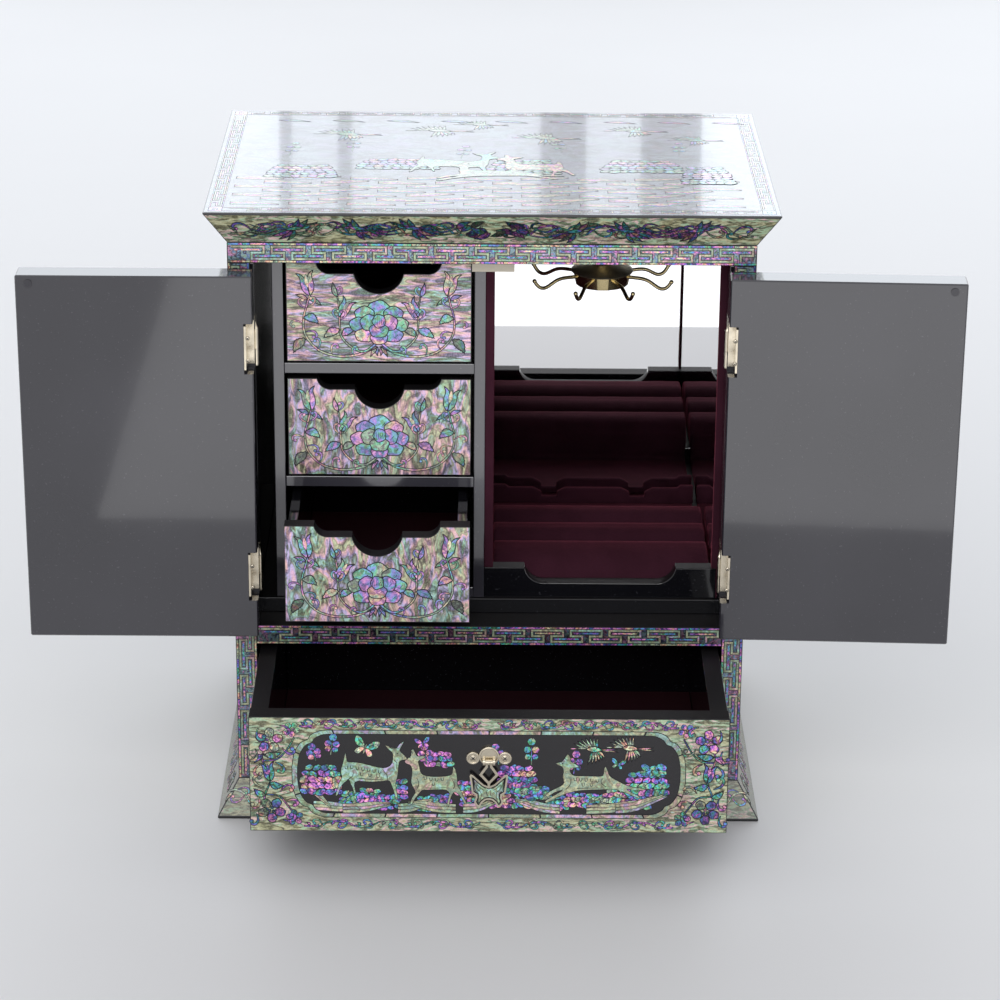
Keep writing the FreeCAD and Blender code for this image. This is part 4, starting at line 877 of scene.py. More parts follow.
def wideFrontArt(art):
    outer, inner = longRound(121, 9.6, 69.0, 25), longRound(117.2, 12.6, 66.0, 22.5)
    art.tile(inner, rim=0, kind=groundKind)
    # low leaves between the feet
    for x, y, hues in ((-84, 18.5, ("green", "teal")), (-73, 21, ("blue", "teal", "green")),
                       (-62, 17, ("purple", "blue")), (-30, 17.5, ("blue", "purple")),
                       (-38, 15.5, ("teal", "green")), (-10, 19, ("teal", "blue", "pink")),
                       (8, 18, ("pink", "purple", "magenta")), (22, 18.5, ("green", "teal")),
                       (42, 17, ("blue", "purple")), (54, 19, ("pink", "salmon", "purple")),
                       (66, 18.5, ("green", "teal", "blue")), (78, 22, ("green", "salmon")),
                       (92, 18, ("blue", "purple"))):
        bush(art, x, y, 3, 7.5, hues, 4.2)
    # ground line, water and rocks
    for x, y, length, climb, hues in ((-108, 15.5, 26, -1.5, ("pink", "cream", "teal")),
                                      (-114, 29, 17, -13, ("cream", "pale")),
                                      (-90, 13.6, 30, 4.5, ("cream", "teal", "pink")),
                                      (-56, 13.8, 22, 7.0, ("pink", "sage", "cream")),
                                      (-20, 13.8, -30, 5.0, ("sage", "pink", "cream")),
                                      (-16, 13.8, 24, 8.0, ("teal", "cream", "pink")),
                                      (44, 13.8, -28, 7.5, ("pink", "cream", "teal")),
                                      (60, 13.8, 42, 7, ("cream", "pink", "salmon")),
                                      (78, 14.2, 32, 11, ("teal", "cream", "pink"))):
        wave(art, x, y, length, climb, hues)
    # tall bushes behind the animals
    for x, y, rows, spread, hues, size in (
            (-103, 27, 5, 13, ("blue", "pink", "salmon", "blue", "teal", "purple"), 5.0),
            (-54, 24, 4, 4, ("blue", "purple", "teal"), 4.0),
            (-31, 46, 3, 9, ("pink", "purple", "magenta"), 4.2),
            (-14, 27, 3, 7, ("pink", "green", "purple"), 4.0),
            (17, 28, 5, 13, ("green", "purple", "blue", "pink", "purple", "grey"), 4.8),
            (31, 24, 3, 7, ("green", "teal"), 4.0),
            (97, 28, 4, 14, ("blue", "green", "purple", "teal"), 4.8),
            (101, 41, 2, 8, ("green", "teal", "blue"), 4.4)):
        bush(art, x, y, rows, spread, hues, size)
    for x, y, height, hues, lean in ((-97, 52, 12, ("purple", "magenta", "pink"), -8),
                                     (-106, 48, 9, ("purple", "pink"), 15),
                                     (26, 46, 17, ("pink", "purple", "blue", "grey"), 0),
                                     (52, 40, 14, ("pink", "purple", "magenta"), -6),
                                     (6, 46, 12, ("grey", "purple", "blue"), 10),
                                     (-38, 46, 12, ("magenta", "pink"), 8)):
        sprig(art, x, y, height, hues, lean)
    figure(art, standingDeer, "pale", 0.75, [[(-87, 35.2), (-83.6, 38), (-83.4, 42)],
                                             [(-62.4, 35), (-62.6, 38.6), (-65.4, 42.6)],
                                             [(-61, 57.6), (-58.6, 56.4), (-56.6, 56.4)],
                                             [(-80, 36.4), (-71, 35.6), (-64, 36)],
                                             [(-58, 49), (-56.4, 46.6), (-56.8, 43)]])
    figure(art, fawn, "cream", 0.75, [[(-21.6, 29.4), (-21.2, 33), (-23, 36.6)],
                                      [(-43.8, 29.6), (-43, 33.4), (-44.4, 37)], [(-47.4, 55), (-46.8, 52.8)],
                                      [(-39, 30), (-31, 30), (-26, 30.6)]])
    figure(art, leapingDeer, "sage", 0.75, [[(72, 31.4), (69, 34.4), (69.8, 37.6)],
                                            [(47.4, 29.6), (50, 33), (50.4, 37)], [(46.6, 50.6), (48, 49)],
                                            [(54, 30.4), (62, 30.6), (69, 30.6)]])
    spots(art, [(-87.4, 43.8), (-84, 44), (-80.6, 43.4), (-77.2, 42.6), (-73.8, 42), (-70.4, 41.4), (-67, 41),
                (-78, 39.2), (-73, 38.6), (-68, 38)])
    spots(art, [(-39, 36.8), (-35.5, 36.0), (-32, 35.8), (-28.5, 36.2), (-34, 32.8)])
    spots(art, [(53, 36.6), (56.4, 36.4), (59.8, 36.2), (63.2, 36), (66.6, 35.6), (58, 33), (63, 32.8)])
    for eye in (-56.2 + 53.3j, -48.4 + 50.9j, 45.2 + 47.2j):
        art.tile(disc(eye, 0.5, 6), rim=0, kind=inkKind)
    butterfly(art, -76, 56.5, 1.6, -18)
    butterfly(art, -40.5, 60, 0.95, 10, ("purple", "magenta"))
    butterfly(art, 79, 46.5, 0.9, -12, ("teal", "pale"))
    crane(art, 54, 56.5, 1.05)
    crane(art, 76, 57.5, 1.05, "cream")
    rimSlips(art, outer, inner)
    # end panels
    for _ in art.twice():
        art.stem([133 + 7j, 138 + 22j, 134 + 36j, 139 + 50j, 134 + 61j], (1.6, 1.4, 1.2), "purple", 0.35)
        art.stem([138 + 48j, 130 + 49j, 124 + 55j, 119 + 64j], (1.4, 1.2), "teal", 0.4)
        art.stem([137 + 25j, 129 + 24j, 124 + 18j, 117 + 8j], (1.4, 1.2), "purple", 0.3)
        art.leaf(138 + 52j, 127 + 53.5j, 5.0, 1.2, "green", 0.45, 1)
        art.leaf(138 + 52j, 144 + 46j, 4.4, 1.0, "blue", 0.4, 1)
        art.leaf(137 + 24j, 144.5 + 29j, 4.8, -1.0, "green", 0.45, 1)
        art.leaf(135 + 33j, 125.5 + 31j, 5.4, 1.2, "teal", 0.3, 1)
        art.tulip(134 + 34j, 80, 12, ("blue", "purple", "magenta"))
        for center, radius, hues, start, lift in (
                (134.4 + 61.6j, 8.6, ("pink", "magenta", "salmon", "purple"), 20, 0.5),
                (133.6 + 14.6j, 8.8, ("purple", "blue", "grey", "magenta"), -20, 0.18),
                (120.6 + 69.2j, 5.2, ("teal", "pink", "green"), 50, 0.45),
                (119.4 + 9.4j, 5.4, ("blue", "purple", "teal"), 10, 0.25)):
            art.blossom(center, radius, [anyHue(*hues) for _ in range(5)], start, lift)
        for root, way, size, hand in ((141 + 70j, 290, 6.0, -1), (143 + 56j, 250, 6.0, 1),
                                      (128 + 72j, 190, 5.4, 1), (126.5 + 57j, 240, 5.6, -1),
                                      (139 + 46j, -30, 6.4, -1), (138 + 30j, 15, 6.4, 1),
                                      (131 + 47j, 200, 5.8, 1), (128 + 27j, 120, 6.0, 1),
                                      (142 + 24j, 250, 6.0, 1), (143 + 12j, 250, 5.6, 1),
                                      (127 + 8j, 200, 5.8, -1), (125 + 20j, 150, 5.4, 1)):
            art.curl(root, way, size, hand, anyHue("purple", "blue", "magenta", "grey", "teal", "pink"), 0.3,
                     1.9)
        scrollRun(art, 5, 116, 73.0, 3.0, ("pink", "green", "purple", "magenta", "teal"), 12)  # waving strips
        scrollRun(art, 5, 114, 5.2, 3.0, ("purple", "blue", "teal", "grey", "green"), 15)


facePlate("wide_drawer_pearl", "wide_drawer_front", (0, -1, 0), oliveShell, "wide_drawer", 0.5)
low, _ = extent(nodes["wide_drawer_front"].data.vertices)
wideLooks = (tintShell, inkAndShadeLacquer, fieldLacquer, paleTint)
inlay("wide_drawer_inlay", "wide_drawer", (0, low.y / mm, low.z / mm), level, upright, wideLooks, wideFrontArt)
print("wide drawer front inlaid")


# cornice: long-tailed birds, butterflies and scrolls on a sloping frieze
def bird(art, x, y, size, mirror=False, hues=("blue", "purple")):
    with art.inside(complex(x, y), size, mirror):
        for k in range(3):
            tail = drawn(((5, -0.5), (11, 2.6 - 2.4 * k), (18, -0.4 - 2.0 * k), (26, 3.4 - 3.2 * k)))
            art.tile(ribbon(smooth(tail, 4, False), (1.5, 2.0, 0.4)), hues[k % 2], 0.0, 0.28)
        for k, hue in enumerate((*hues, "teal")):
            root = 2.5 + k + 0.5j
            art.feather(root, root + turned(156 - 20 * k) * (12.5 - 2.2 * k), 3.4, 0.9, hue, 0.0)
        for k, hue in enumerate((*hues, "magenta")):
            root = 3.0 + k - 0.5j
            art.feather(root, root + turned(18 * k - 62) * (9.5 + 1.2 * k), 3.0, -0.8, hue, 0.0)
        art.feather(-1.5 + 0.8j, 8.5 - 0.6j, 3.2, 0.3, hues[0], 0.2)
        art.feather(-4.8 + 2.4j, 0.4 + 0.6j, 1.5, -0.5, hues[1], 0.2)
        art.feather(-7.0 + 2.5j, -4.2 + 2.3j, 0.8, 0, "salmon", 0.5)


def corniceArt(art, half, height):
    middle = height * 0.5
    for _ in art.twice():
        scrollRun(art, 6, half - 2, middle, height * 0.30, ("grey", "purple", "sage", "blue", "green", "grey"),
                  17, 0.12, 1.4)
    if half > 130:
        for x, mirror, hues in ((-122, True, ("green", "blue")), (-80, False, ("blue", "purple")),
                                (84, False, ("blue", "purple")), (122, True, ("purple", "magenta")),
                                (-46, False, ("teal", "blue")), (48, True, ("blue", "grey"))):
            bird(art, x + (6 if mirror else -6), middle + dice.uniform(-1, 1), 1.2, mirror, hues)
        for k in range(16):  # a dark clump of leaves in the middle
            root = complex(-22 + 3 * k, middle + dice.uniform(-3, 3))
            tip = root + turned(dice.choice((35, -35, 150, -150))) * dice.uniform(8, 12)
            art.leaf(root, tip, 5.0, 0.8, anyHue("blue", "purple", "grey", "teal", "magenta"), -0.05)
    else:
        for x, mirror in ((-70, False), (-28, True), (28, False), (70, True)):
            bird(art, x, middle, 1.1, mirror, ("blue", "purple"))


frieze = {"out": 13.2, "high": 21.4, "frontHalf": 161, "sideHalf": 104, "margin": 0.7}
out, high = frieze["out"], frieze["high"]
slope = Vector((0, -out, high))
facePlate("cornice_pearl", "cornice_front", (0, -high, -out), oliveShell, "case", frieze["margin"])
inlay("cornice_inlay", "case", (0, frontY, case["friezeZ"]), level, slope, mosaic, corniceArt,
      frieze["frontHalf"], slope.length)
for side, name in ((-1, "left"), (1, "right")):
    facePlate(f"cornice_{name}_pearl", f"cornice_{name}", (side * high, 0, -out), oliveShell, "case",
              frieze["margin"])
    inlay(f"cornice_{name}_inlay", "case", (side * sideX, case["sideMiddle"], case["friezeZ"]), (0, side, 0),
          (side * out, 0, high), mosaic, corniceArt, frieze["sideHalf"], slope.length)
print("cornice inlaid")


# plinth, top, sides and the doors' outer faces, which the photo shows little of
def panelArt(art, width, height, motif, border=10.0):  # key-fret border, and a picture inside it
    w, h = width / 2, height / 2
    for x, y, way, length in ((-w, -h, 0, width), (w, h, 180, width), (w, -h, 90, height),
                              (-w, h, -90, height)):
        with art.inside(complex(x, y), turned(way)):
            with art.inside(complex(border, 0.8)):
                art.fret(length - 2 * border, border - 1.0)
            art.tile(rect(0.9, 0.9, border - 0.6, border - 0.6), anyHue("pink", "teal"), 0.6, 0.3)
            art.tile(rect(3.6, 3.6, 6.6, 6.6), anyHue("purple", "blue"), 0.35, 0.3)
    motif(art, w - border - 3, h - border - 3)


def gardenArt(art, w, h):  # a peony at the foot and head, with vines, birds and butterflies between them
    size = w / 60
    with art.inside(complex(0, -h), size):
        drawerArt(art)
    with art.inside(complex(0, h), -size):
        drawerArt(art)
    for _ in art.twice():
        bends = ((0.9, -h + 46 * size), (0.72, -h * 0.3), (0.9, 0), (0.72, h * 0.3), (0.9, h - 46 * size))
        stem = art.stem([complex(w * x, y) for x, y in bends], (1.5, 1.2, 1.2))
        for k in range(2, len(stem) - 2, 3):
            art.leaf(stem[k], stem[k] + turned(150 if k % 2 else 30) * 8, 4.4, 0.8, anyHue(), 0.45, 1)
        bird(art, w * 0.34, h * 0.16, 1.0, False, ("blue", "purple"))
        butterfly(art, w * 0.30, -h * 0.22, 1.6, -15, ("pink", "teal"))
    art.petals(0j, w * 0.22, 8, [anyHue() for _ in range(8)], 1.2, 20, 0.5, 0)
    art.petals(0j, w * 0.14, 6, [anyHue() for _ in range(6)], 1.2, 50, 0.6, 0.35)


def landscapeArt(art, w, h):  # hills, water, pines, cranes and deer on the lid
    for row in range(7):
        y = -h + 4 + row * 9.5
        for k in range(9):
            x = -w + 2 * w * (k + 0.5 * (row % 2)) / 9
            if x < w - 30:
                wave(art, x, y, 30, 4.5 if k % 2 else -1.5, (anyHue("cream", "teal"), "pink", "sage"))
    for x, y, spread, rows in ((-120, -40, 22, 6), (-60, -20, 26, 5), (20, -30, 24, 7), (95, -25, 26, 6),
                               (135, -50, 16, 8)):
        bush(art, x, y, rows, spread, ("green", "teal", "blue", "purple", "pink"), 6.0)
    for x, y in ((-130, 10), (-90, 20), (-20, 5), (45, 20), (120, 15)):
        sprig(art, x, y, 34, ("green", "teal", "blue", "purple"), dice.uniform(-8, 8))
    for x, y, size in ((-110, 62, 1.6), (-50, 72, 1.6), (20, 55, 1.6), (80, 74, 1.5), (-20, 88, 1.3),
                       (120, 52, 1.3)):
        crane(art, x, y, size)
    with art.inside(complex(70, -60), 1.3):
        figure(art, standingDeer, "pale")
        figure(art, fawn, "cream")
    with art.inside(complex(-80, -75), 1.3):
        figure(art, leapingDeer, "sage")
    for k in range(9):
        root, tip = complex(-w + 18 + 36 * k, h - 10), complex(-w + 40 + 36 * k, h - 14)
        art.leaf(root, tip, 5, 1.5, anyHue("teal", "blue", "pink"), 0.5)


skirt = {"out": 13.2, "high": 21.9, "footZ": 1.5, "sideX": 175.0, "frontHalf": 168, "sideHalf": 108,
         "margin": 0.7}
out, high = skirt["out"], skirt["high"]
slant = Vector((0, out, high))


def skirtArt(art, start, end):
    for _ in art.twice():
        scrollRun(art, start, end, slant.length * 0.5, slant.length * 0.30, ("purple", "blue", "pink", "grey"),
                  13)


facePlate("plinth_pearl", "plinth_front", (0, -high, out), plinthShell, "case", skirt["margin"])
inlay("plinth_inlay", "case", (0, frontY - out, skirt["footZ"]), level, slant, mosaic, skirtArt, 6,
      skirt["frontHalf"])
sideBoard = {"wide": 228, "high": 358, "middleZ": 204.05, "margin": 0.6}
for side, name in ((-1, "left"), (1, "right")):
    facePlate(f"plinth_{name}_pearl", f"plinth_{name}", (side * high, 0, out), plinthShell, "case",
              skirt["margin"])
    inlay(f"plinth_{name}_inlay", "case", (side * skirt["sideX"], case["sideMiddle"], skirt["footZ"]),
          (0, side, 0), (side * -out, 0, high), mosaic, skirtArt, 4, skirt["sideHalf"])
    facePlate(f"{name}_side_pearl", f"{name}_side_board", (side, 0, 0), sideShell, "case", sideBoard["margin"])
    inlay(f"{name}_side_inlay", "case", (side * sideX, case["sideMiddle"], sideBoard["middleZ"]), (0, side, 0),
          upright, mosaic, panelArt, sideBoard["wide"], sideBoard["high"], gardenArt)

door = {"wide": 140, "high": 234, "low": 132.6, "top": 369.8, "rightLean": 2.4, "margin": 0.9}
for name, lean in (("left_door", 0.0), ("right_door", door["rightLean"])):
    outward = Matrix.Rotation(math.radians(-lean), 3, "Z") @ Vector((0, 1, 0))
    facePlate(f"{name}_pearl", f"{name}_panel", outward, sideShell, name, door["margin"])
    corners = [v.co for v in nodes[f"{name}_panel"].data.vertices]
    across = Vector(upright).cross(outward)
    reach = [c.dot(across) for c in corners]
    middle = across * (max(reach) + min(reach)) / 2 + outward * max(c.dot(outward) for c in corners)
    middle += Vector((0, 0, (door["low"] + door["top"]) / 2 * mm))
    inlay(f"{name}_inlay", name, middle / mm, across, upright, mosaic, panelArt, door["wide"], door["high"],
          gardenArt)

lid = {"wide": 346, "deep": 240, "topZ": 407.2, "above": 0.4070, "sunk": 0.0004, "margin": 0.8, "rise": 0.08}
# the lid again, a hair lower, so its shell is flush
board = linked("lid_board", nodes["top_panel"].data.copy())
for v in board.data.vertices:
    v.co.z -= lid["sunk"] if v.co.z > lid["above"] else 0.0
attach(board, "case")
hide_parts("top_panel")
nodes["lid_board"] = board
facePlate("lid_pearl", "lid_board", upright, lidShell, "case", lid["margin"], lid["rise"])
inlay("lid_inlay", "case", (0, 0, lid["topZ"]), level, (0, 1, 0), (lidTint, inkAndShadeLacquer, inkAndShadeLacquer, lidTint),
      panelArt, lid["wide"], lid["deep"], landscapeArt)
print("plinth, sides, doors and lid inlaid")


# velvet, carousel, pulls and screws, each with its own shape
# made in mm, put in place
def settle(bm, name, body, looks, replaced=(), angle=35.0, place=Matrix.Identity(4)):
    bmesh.ops.remove_doubles(bm, verts=bm.verts, dist=0.002)
    bmesh.ops.recalc_face_normals(bm, faces=bm.faces)
    mesh = meshOf(bm, name)
    mesh.transform(Matrix.Scale(mm, 4) @ place)
    mesh.shade_smooth()
    mesh.set_sharp_from_angle(angle=math.radians(angle))
    piece = newPiece(name, mesh, looks, body)
    if replaced:
        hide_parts(*replaced)
    return piece


def fromNode(node):  # the node's mesh in mm, merged, with its flat faces whole
    bm = bmesh.new()
    bm.from_mesh(nodes[node].data)
    bmesh.ops.scale(bm, vec=(1 / mm,) * 3, verts=bm.verts)
    bmesh.ops.remove_doubles(bm, verts=bm.verts, dist=0.01)
    bmesh.ops.dissolve_limit(bm, angle_limit=0.02, verts=bm.verts, edges=bm.edges)
    return bm


softEdges = {"compartment_left_velvet": 0.8, "compartment_right_velvet": 0.8, "well_partition": 1.0,
             **{f"{name}_felt": 0.5 for name in (*smallDrawers, "wide_drawer")}}
for node, softness in softEdges.items():  # cloth-covered boards
    bm = fromNode(node)
    bmesh.ops.bevel(bm, geom=bm.edges[:], offset=softness, segments=3, profile=0.5, affect="EDGES", material=-1,
                    clamp_overlap=True)
    body, cloth = (node.replace("_felt", ""), deepVelvet) if "felt" in node else ("case", wineVelvet)
    settle(bm, f"{node}_cover", body, [cloth], [node], 50)

# ring rolls: the tray's form, made soft
rolls = {"voxel": 1.5, "smoothing": 5, "ripple": 0.16, "rippleSize": 9.0, "fill": 0.95}
bm = fromNode("ring_roll_tray")
low, high = extent(bm.verts)
form = linked("rollForm", meshOf(bm, "rollForm"))
remesh = form.modifiers.new("voxels", "REMESH")
remesh.mode, remesh.voxel_size = "VOXEL", rolls["voxel"]
ease = form.modifiers.new("ease", "SMOOTH")
ease.factor, ease.iterations = 0.5, rolls["smoothing"]
bpy.context.view_layer.update()
soft = bpy.data.meshes.new_from_object(form.evaluated_get(bpy.context.evaluated_depsgraph_get()))
bpy.data.objects.remove(form)
bm = bmesh.new()
bm.from_mesh(soft)
for v in bm.verts:
    v.co += v.normal * noise.noise(v.co / rolls["rippleSize"]) * rolls["ripple"]
    v.co = Vector([min(max(c, a), b) for c, a, b in zip(v.co, low, high)])
rollPiece = settle(bm, "ring_rolls", "case", [wineVelvet], ["ring_roll_tray"], 70)
print("velvet laid")


# adds a turned form; profile is (radius, height)
def turn(bm, profile, steps, place=Matrix.Identity(4), closed=False):
    before = set(bm.verts)
    verts = [bm.verts.new((r, 0, z)) for r, z in profile]
    pairs = list(zip(verts, verts[1:])) + ([(verts[-1], verts[0])] if closed else [])
    edges = [bm.edges.new(pair) for pair in pairs]
    bmesh.ops.spin(bm, geom=verts + edges, cent=(0, 0, 0), axis=(0, 0, 1), angle=math.tau, steps=steps,
                   use_merge=True)
    bmesh.ops.transform(bm, matrix=place, verts=[v for v in bm.verts if v not in before])


def wires(bm, paths, radius):  # adds round wires along lists of points
    curve = bpy.data.curves.new("wire", "CURVE")
    curve.dimensions, curve.bevel_depth, curve.bevel_resolution, curve.use_fill_caps = "3D", radius, 3, True
    for path in paths:
        spline = curve.splines.new("POLY")
        spline.points.add(len(path) - 1)
        for point, co in zip(spline.points, path):
            point.co = (*co, 1)
    wire = linked("wire", curve)
    bm.from_mesh(bpy.data.meshes.new_from_object(wire))
    bpy.data.objects.remove(wire)


carousel = {"x": 72.0, "y": 14.9, "ceiling": 371.7, "domeEdge": 330.4, "ringRadii": (8.8, 5.4, 6.6),
            "ringPitch": 3.4, "stem": 3.4, "facets": 16, "cupTop": 19.0, "cupFoot": 17.2, "cupHeight": 8.6,
            "cupWall": 1.6, "cupHollow": 5.5, "wire": 1.2, "hooks": 8, "stretch": 1.04}
center = Matrix.Translation((carousel["x"], carousel["y"], 0))
edge, stemRadius, pitch = carousel["domeEdge"], carousel["stem"], carousel["ringPitch"]
flange = ((0, 0), (11, 0), (11, 0.9), (10.2, 1.6), (6.4, 2.3), (4.2, 3.4), (stemRadius, 5.5))
profile = [(r, carousel["ceiling"] - down) for r, down in flange]
ringShape = ((0.55, 0.06), (0.9, 0.22), (1, 0.42), (1, 0.58), (0.9, 0.78), (0.55, 0.94))
for i, radius in enumerate(carousel["ringRadii"]):
    top = edge + 15.5 - pitch * i
    profile += [(4.0 if i else stemRadius, top)] + [(4.0 + (radius - 4.0) * a, top - pitch * b)
                                                    for a, b in ringShape]
journal = ((3.6, 5.3), (2.2, 5.3), (2.2, -8.9), (5.0, -8.9), (5.0, -9.8), (3.2, -10.6), (0, -10.9))
bm = bmesh.new()
turn(bm, profile + [(r, edge + z) for r, z in journal], 40)
settle(bm, "carousel_turned_stem", "case", [goldBrass], ["carousel_stem"], 40, center)

dome = ((2.6, 5.0), (5.4, 5.0), (8.0, 4.75), (10.8, 4.25), (13.6, 3.45), (16.2, 2.4), (18.4, 1.35), (19.8, 0.6),
        (20.3, 0.0), (20.0, -0.5), (19.2, -0.7), (2.6, -0.7))
bm = bmesh.new()
turn(bm, [(r, edge + z) for r, z in dome], 64, closed=True)
settle(bm, "carousel_dome", "carousel", [softBrass], ["carousel_hub"], 50, center)

bm = bmesh.new()
bmesh.ops.create_cone(bm, cap_ends=True, segments=carousel["facets"], radius1=carousel["cupFoot"],
                      radius2=carousel["cupTop"], depth=carousel["cupHeight"],
                      matrix=Matrix.Rotation(math.pi / carousel["facets"], 4, "Z"))
foot = [f for f in bm.faces if f.normal.z < -0.9]
bmesh.ops.inset_region(bm, faces=foot, thickness=carousel["cupWall"])
bmesh.ops.translate(bm, vec=(0, 0, carousel["cupHollow"]), verts=foot[0].verts)
arrises = [e for e in bm.edges if e.calc_face_angle(0) > 0.3]
bmesh.ops.bevel(bm, geom=arrises, offset=0.25, segments=2, profile=0.5, affect="EDGES", material=-1)
bmesh.ops.translate(bm, vec=(0, 0, edge - 0.5 - carousel["cupHeight"] / 2), verts=bm.verts)
settle(bm, "carousel_cup", "carousel", [goldBrass], (), 14, center)

hookLine = smooth(drawn(((15.5, 0), (22, 0.2), (27, 0.1), (31, -0.9), (34.5, -2.9), (37.6, -4.6), (40, -5.0),
                         (42.4, -4.2), (44.4, -2.2), (46, 0.4))), 3, False)
bm = bmesh.new()
paths = []
for k in range(carousel["hooks"]):
    way = Matrix.Rotation(math.tau * (k + 0.5) / carousel["hooks"], 3, "Z")
    paths.append([way @ Vector((p.real * carousel["stretch"], 0, edge - 2.8 + p.imag)) for p in hookLine])
wires(bm, paths, carousel["wire"])
for path in paths:
    bmesh.ops.create_icosphere(bm, subdivisions=2, radius=carousel["wire"] * 1.25,
                               matrix=Matrix.Translation(path[-1]))
settle(bm, "carousel_hook_wires", "carousel", [goldBrass], ["carousel_hooks"], 60, center)
print("carousel made")


def screw(bm, place, radius):  # raised head with a cross cut; the cross is near-black lacquer, painted shade in the slots
    turn(bm, [(0, 0.62), (radius * 0.5, 0.56), (radius * 0.85, 0.34), (radius, 0.0), (radius, -0.2), (0, -0.2)],
         20, place)
    for angle in (45, 135):
        box = Matrix.Rotation(math.radians(angle), 4,
                              "Z") @ Matrix.Diagonal((radius * 1.25, radius * 0.26, 0.4, 1))
        made = bmesh.ops.create_cube(bm, size=1.0, matrix=place @ Matrix.Translation((0, 0, 0.46)) @ box)
        # the cross gets the near-black lacquer: painted shade in the cut
        for f in {f for v in made["verts"] for f in v.link_faces}:
            f.material_index = 1


butterflyHalf = [(0, -16.2), (3.4, -14.6), (9.8, -8.3), (11.2, -7.8), (11.8, -8.9), (10.4, -20.3), (8.1, -21.9),
                 (8.0, -23.6), (9.0, -26.6), (8.0, -28.7), (6.4, -30.0), (5.4, -29.7), (3.8, -27.0),
                 (2.0, -25.4), (0, -25.0)]
wingLines = [[(1.6, -17.6), (4.6, -15.9), (8.6, -11.8), (9.5, -11.9), (8.4, -18.6), (6.5, -20.8), (6.3, -23.8),
              (6.9, -26.4), (6.2, -27.6)], [(2.6, -18.8), (5.0, -17.4), (7.4, -14.8), (7.0, -17.8),
                                            (4.9, -20.2), (4.7, -23.4), (5.1, -25.2)],
             [(0.9, -18.4), (1.3, -20.4), (0.8, -22.6)]]


def insetBy(outline, by):  # the outline moved inwards
    moved = []
    for a, b, c in zip(outline[-1:] + outline[:-1], outline, outline[1:] + outline[:1]):
        one, two = (b - a) / abs(b - a), (c - b) / abs(c - b)
        mitre = (one + two) / abs(one + two) * 1j
        moved.append(b + mitre * by / max(0.5, (mitre * (one * 1j).conjugate()).real))
    return moved


pull = {"bossX": 9.75, "bossY": 1.7, "bossRing": 3.45, "domeY": 3.4, "domeRing": 5.55, "ringHalf": 0.62,
        "screw": 2.1, "wingRise": 3.72, "inkEdge": 1.15, "shellEdge": 1.75}


def pullDetails(name, body, face, right, out):  # rings and screws on the plate, shell on the butterfly
    right, up, out = Vector(right), Vector(upright), Vector(out)
    place = Matrix.Translation(face) @ axes(right, up, out)
    bm = bmesh.new()
    circle = [(math.cos(math.tau * k / 10), math.sin(math.tau * k / 10)) for k in range(10)]
    for x in (-pull["bossX"], pull["bossX"]):
        ring = [(pull["bossRing"] + pull["ringHalf"] * a, 0.45 * b) for a, b in circle]
        turn(bm, ring, 36, Matrix.Translation((x, pull["bossY"], 1.3)), True)
        screw(bm, Matrix.Translation((x, pull["bossY"], 1.2)), pull["screw"])
    ring = [(pull["domeRing"] + pull["ringHalf"] * a, 0.5 * b) for a, b in circle]
    turn(bm, ring, 48, Matrix.Translation((0, pull["domeY"], 1.9)), True)
    settle(bm, f"{name}_rings", body, [paleBrass, inkAndShadeLacquer], (), 50, place)
    art = Inlay()
    outline = drawn(butterflyHalf) + [complex(-x, y) for x, y in butterflyHalf[-2:0:-1]]
    if signedArea(outline) < 0:
        outline = outline[::-1]
    art.tile(insetBy(outline, pull["inkEdge"]), rim=0, kind=inkKind)
    art.tile(insetBy(outline, pull["shellEdge"]), "pale", 0.7, 0, paleKind)
    for _ in art.twice():
        for line in wingLines:
            art.ink(smooth(drawn(line), 3, False), (0.3, 0.42, 0.3))
    art.build(f"{name}_wings", f"{body}_pull", Vector(face) + out * pull["wingRise"], right, up, mosaic)


lean = math.radians(door["rightLean"])
pullDetails("wide_pull", "wide_drawer", (0, -214.1, 87.2), level, (0, -1, 0))
pullDetails("left_pull", "left_door", (-273.4, -113.9, 259.8), (-1, 0, 0), (0, 1, 0))
pullDetails("right_pull", "right_door", (273.187, -119.271, 259.8), (-math.cos(lean), math.sin(lean), 0),
            (math.sin(lean), math.cos(lean), 0))
hinge = {"x": 148.7, "leftFace": -131.1, "rightFace": -131.3, "feet": (159.9, 309.9), "screws": (6.0, 20.5),
         "screw": 1.3}
for side, name in ((-1, "left"), (1, "right")):
    bm = bmesh.new()
    for foot in hinge["feet"]:
        for above in hinge["screws"]:
            spot = Matrix.Translation((side * hinge["x"], hinge[f"{name}Face"], foot + above))
            screw(bm, spot @ Matrix.Rotation(math.radians(90), 4, "X"), hinge["screw"])
    settle(bm, f"{name}_hinge_screws", f"{name}_door", [paleBrass, inkAndShadeLacquer])
print("pulls and screws made")


# stage: white table, pale backdrop, window light behind and soft fill in front
room = {"tableHalf": 3.0, "tableDark": (0.79, 0.78, 0.775), "tablePale": (0.83, 0.82, 0.815),
        "air": (0.93, 0.95, 1.0, 1), "airStrength": 0.6, "backdrop": (0.87, 0.87, 0.895, 1),
        "backdropStrength": 1.0}


def tableMaterial():
    s = Shader("whiteTable")
    mottle = s.noise(3)
    return s.finish(Base_Color=s.mix(mottle, room["tableDark"], room["tablePale"]),
                    Roughness=mottle * 0.1 + 0.5, Specular_IOR_Level=0.3)


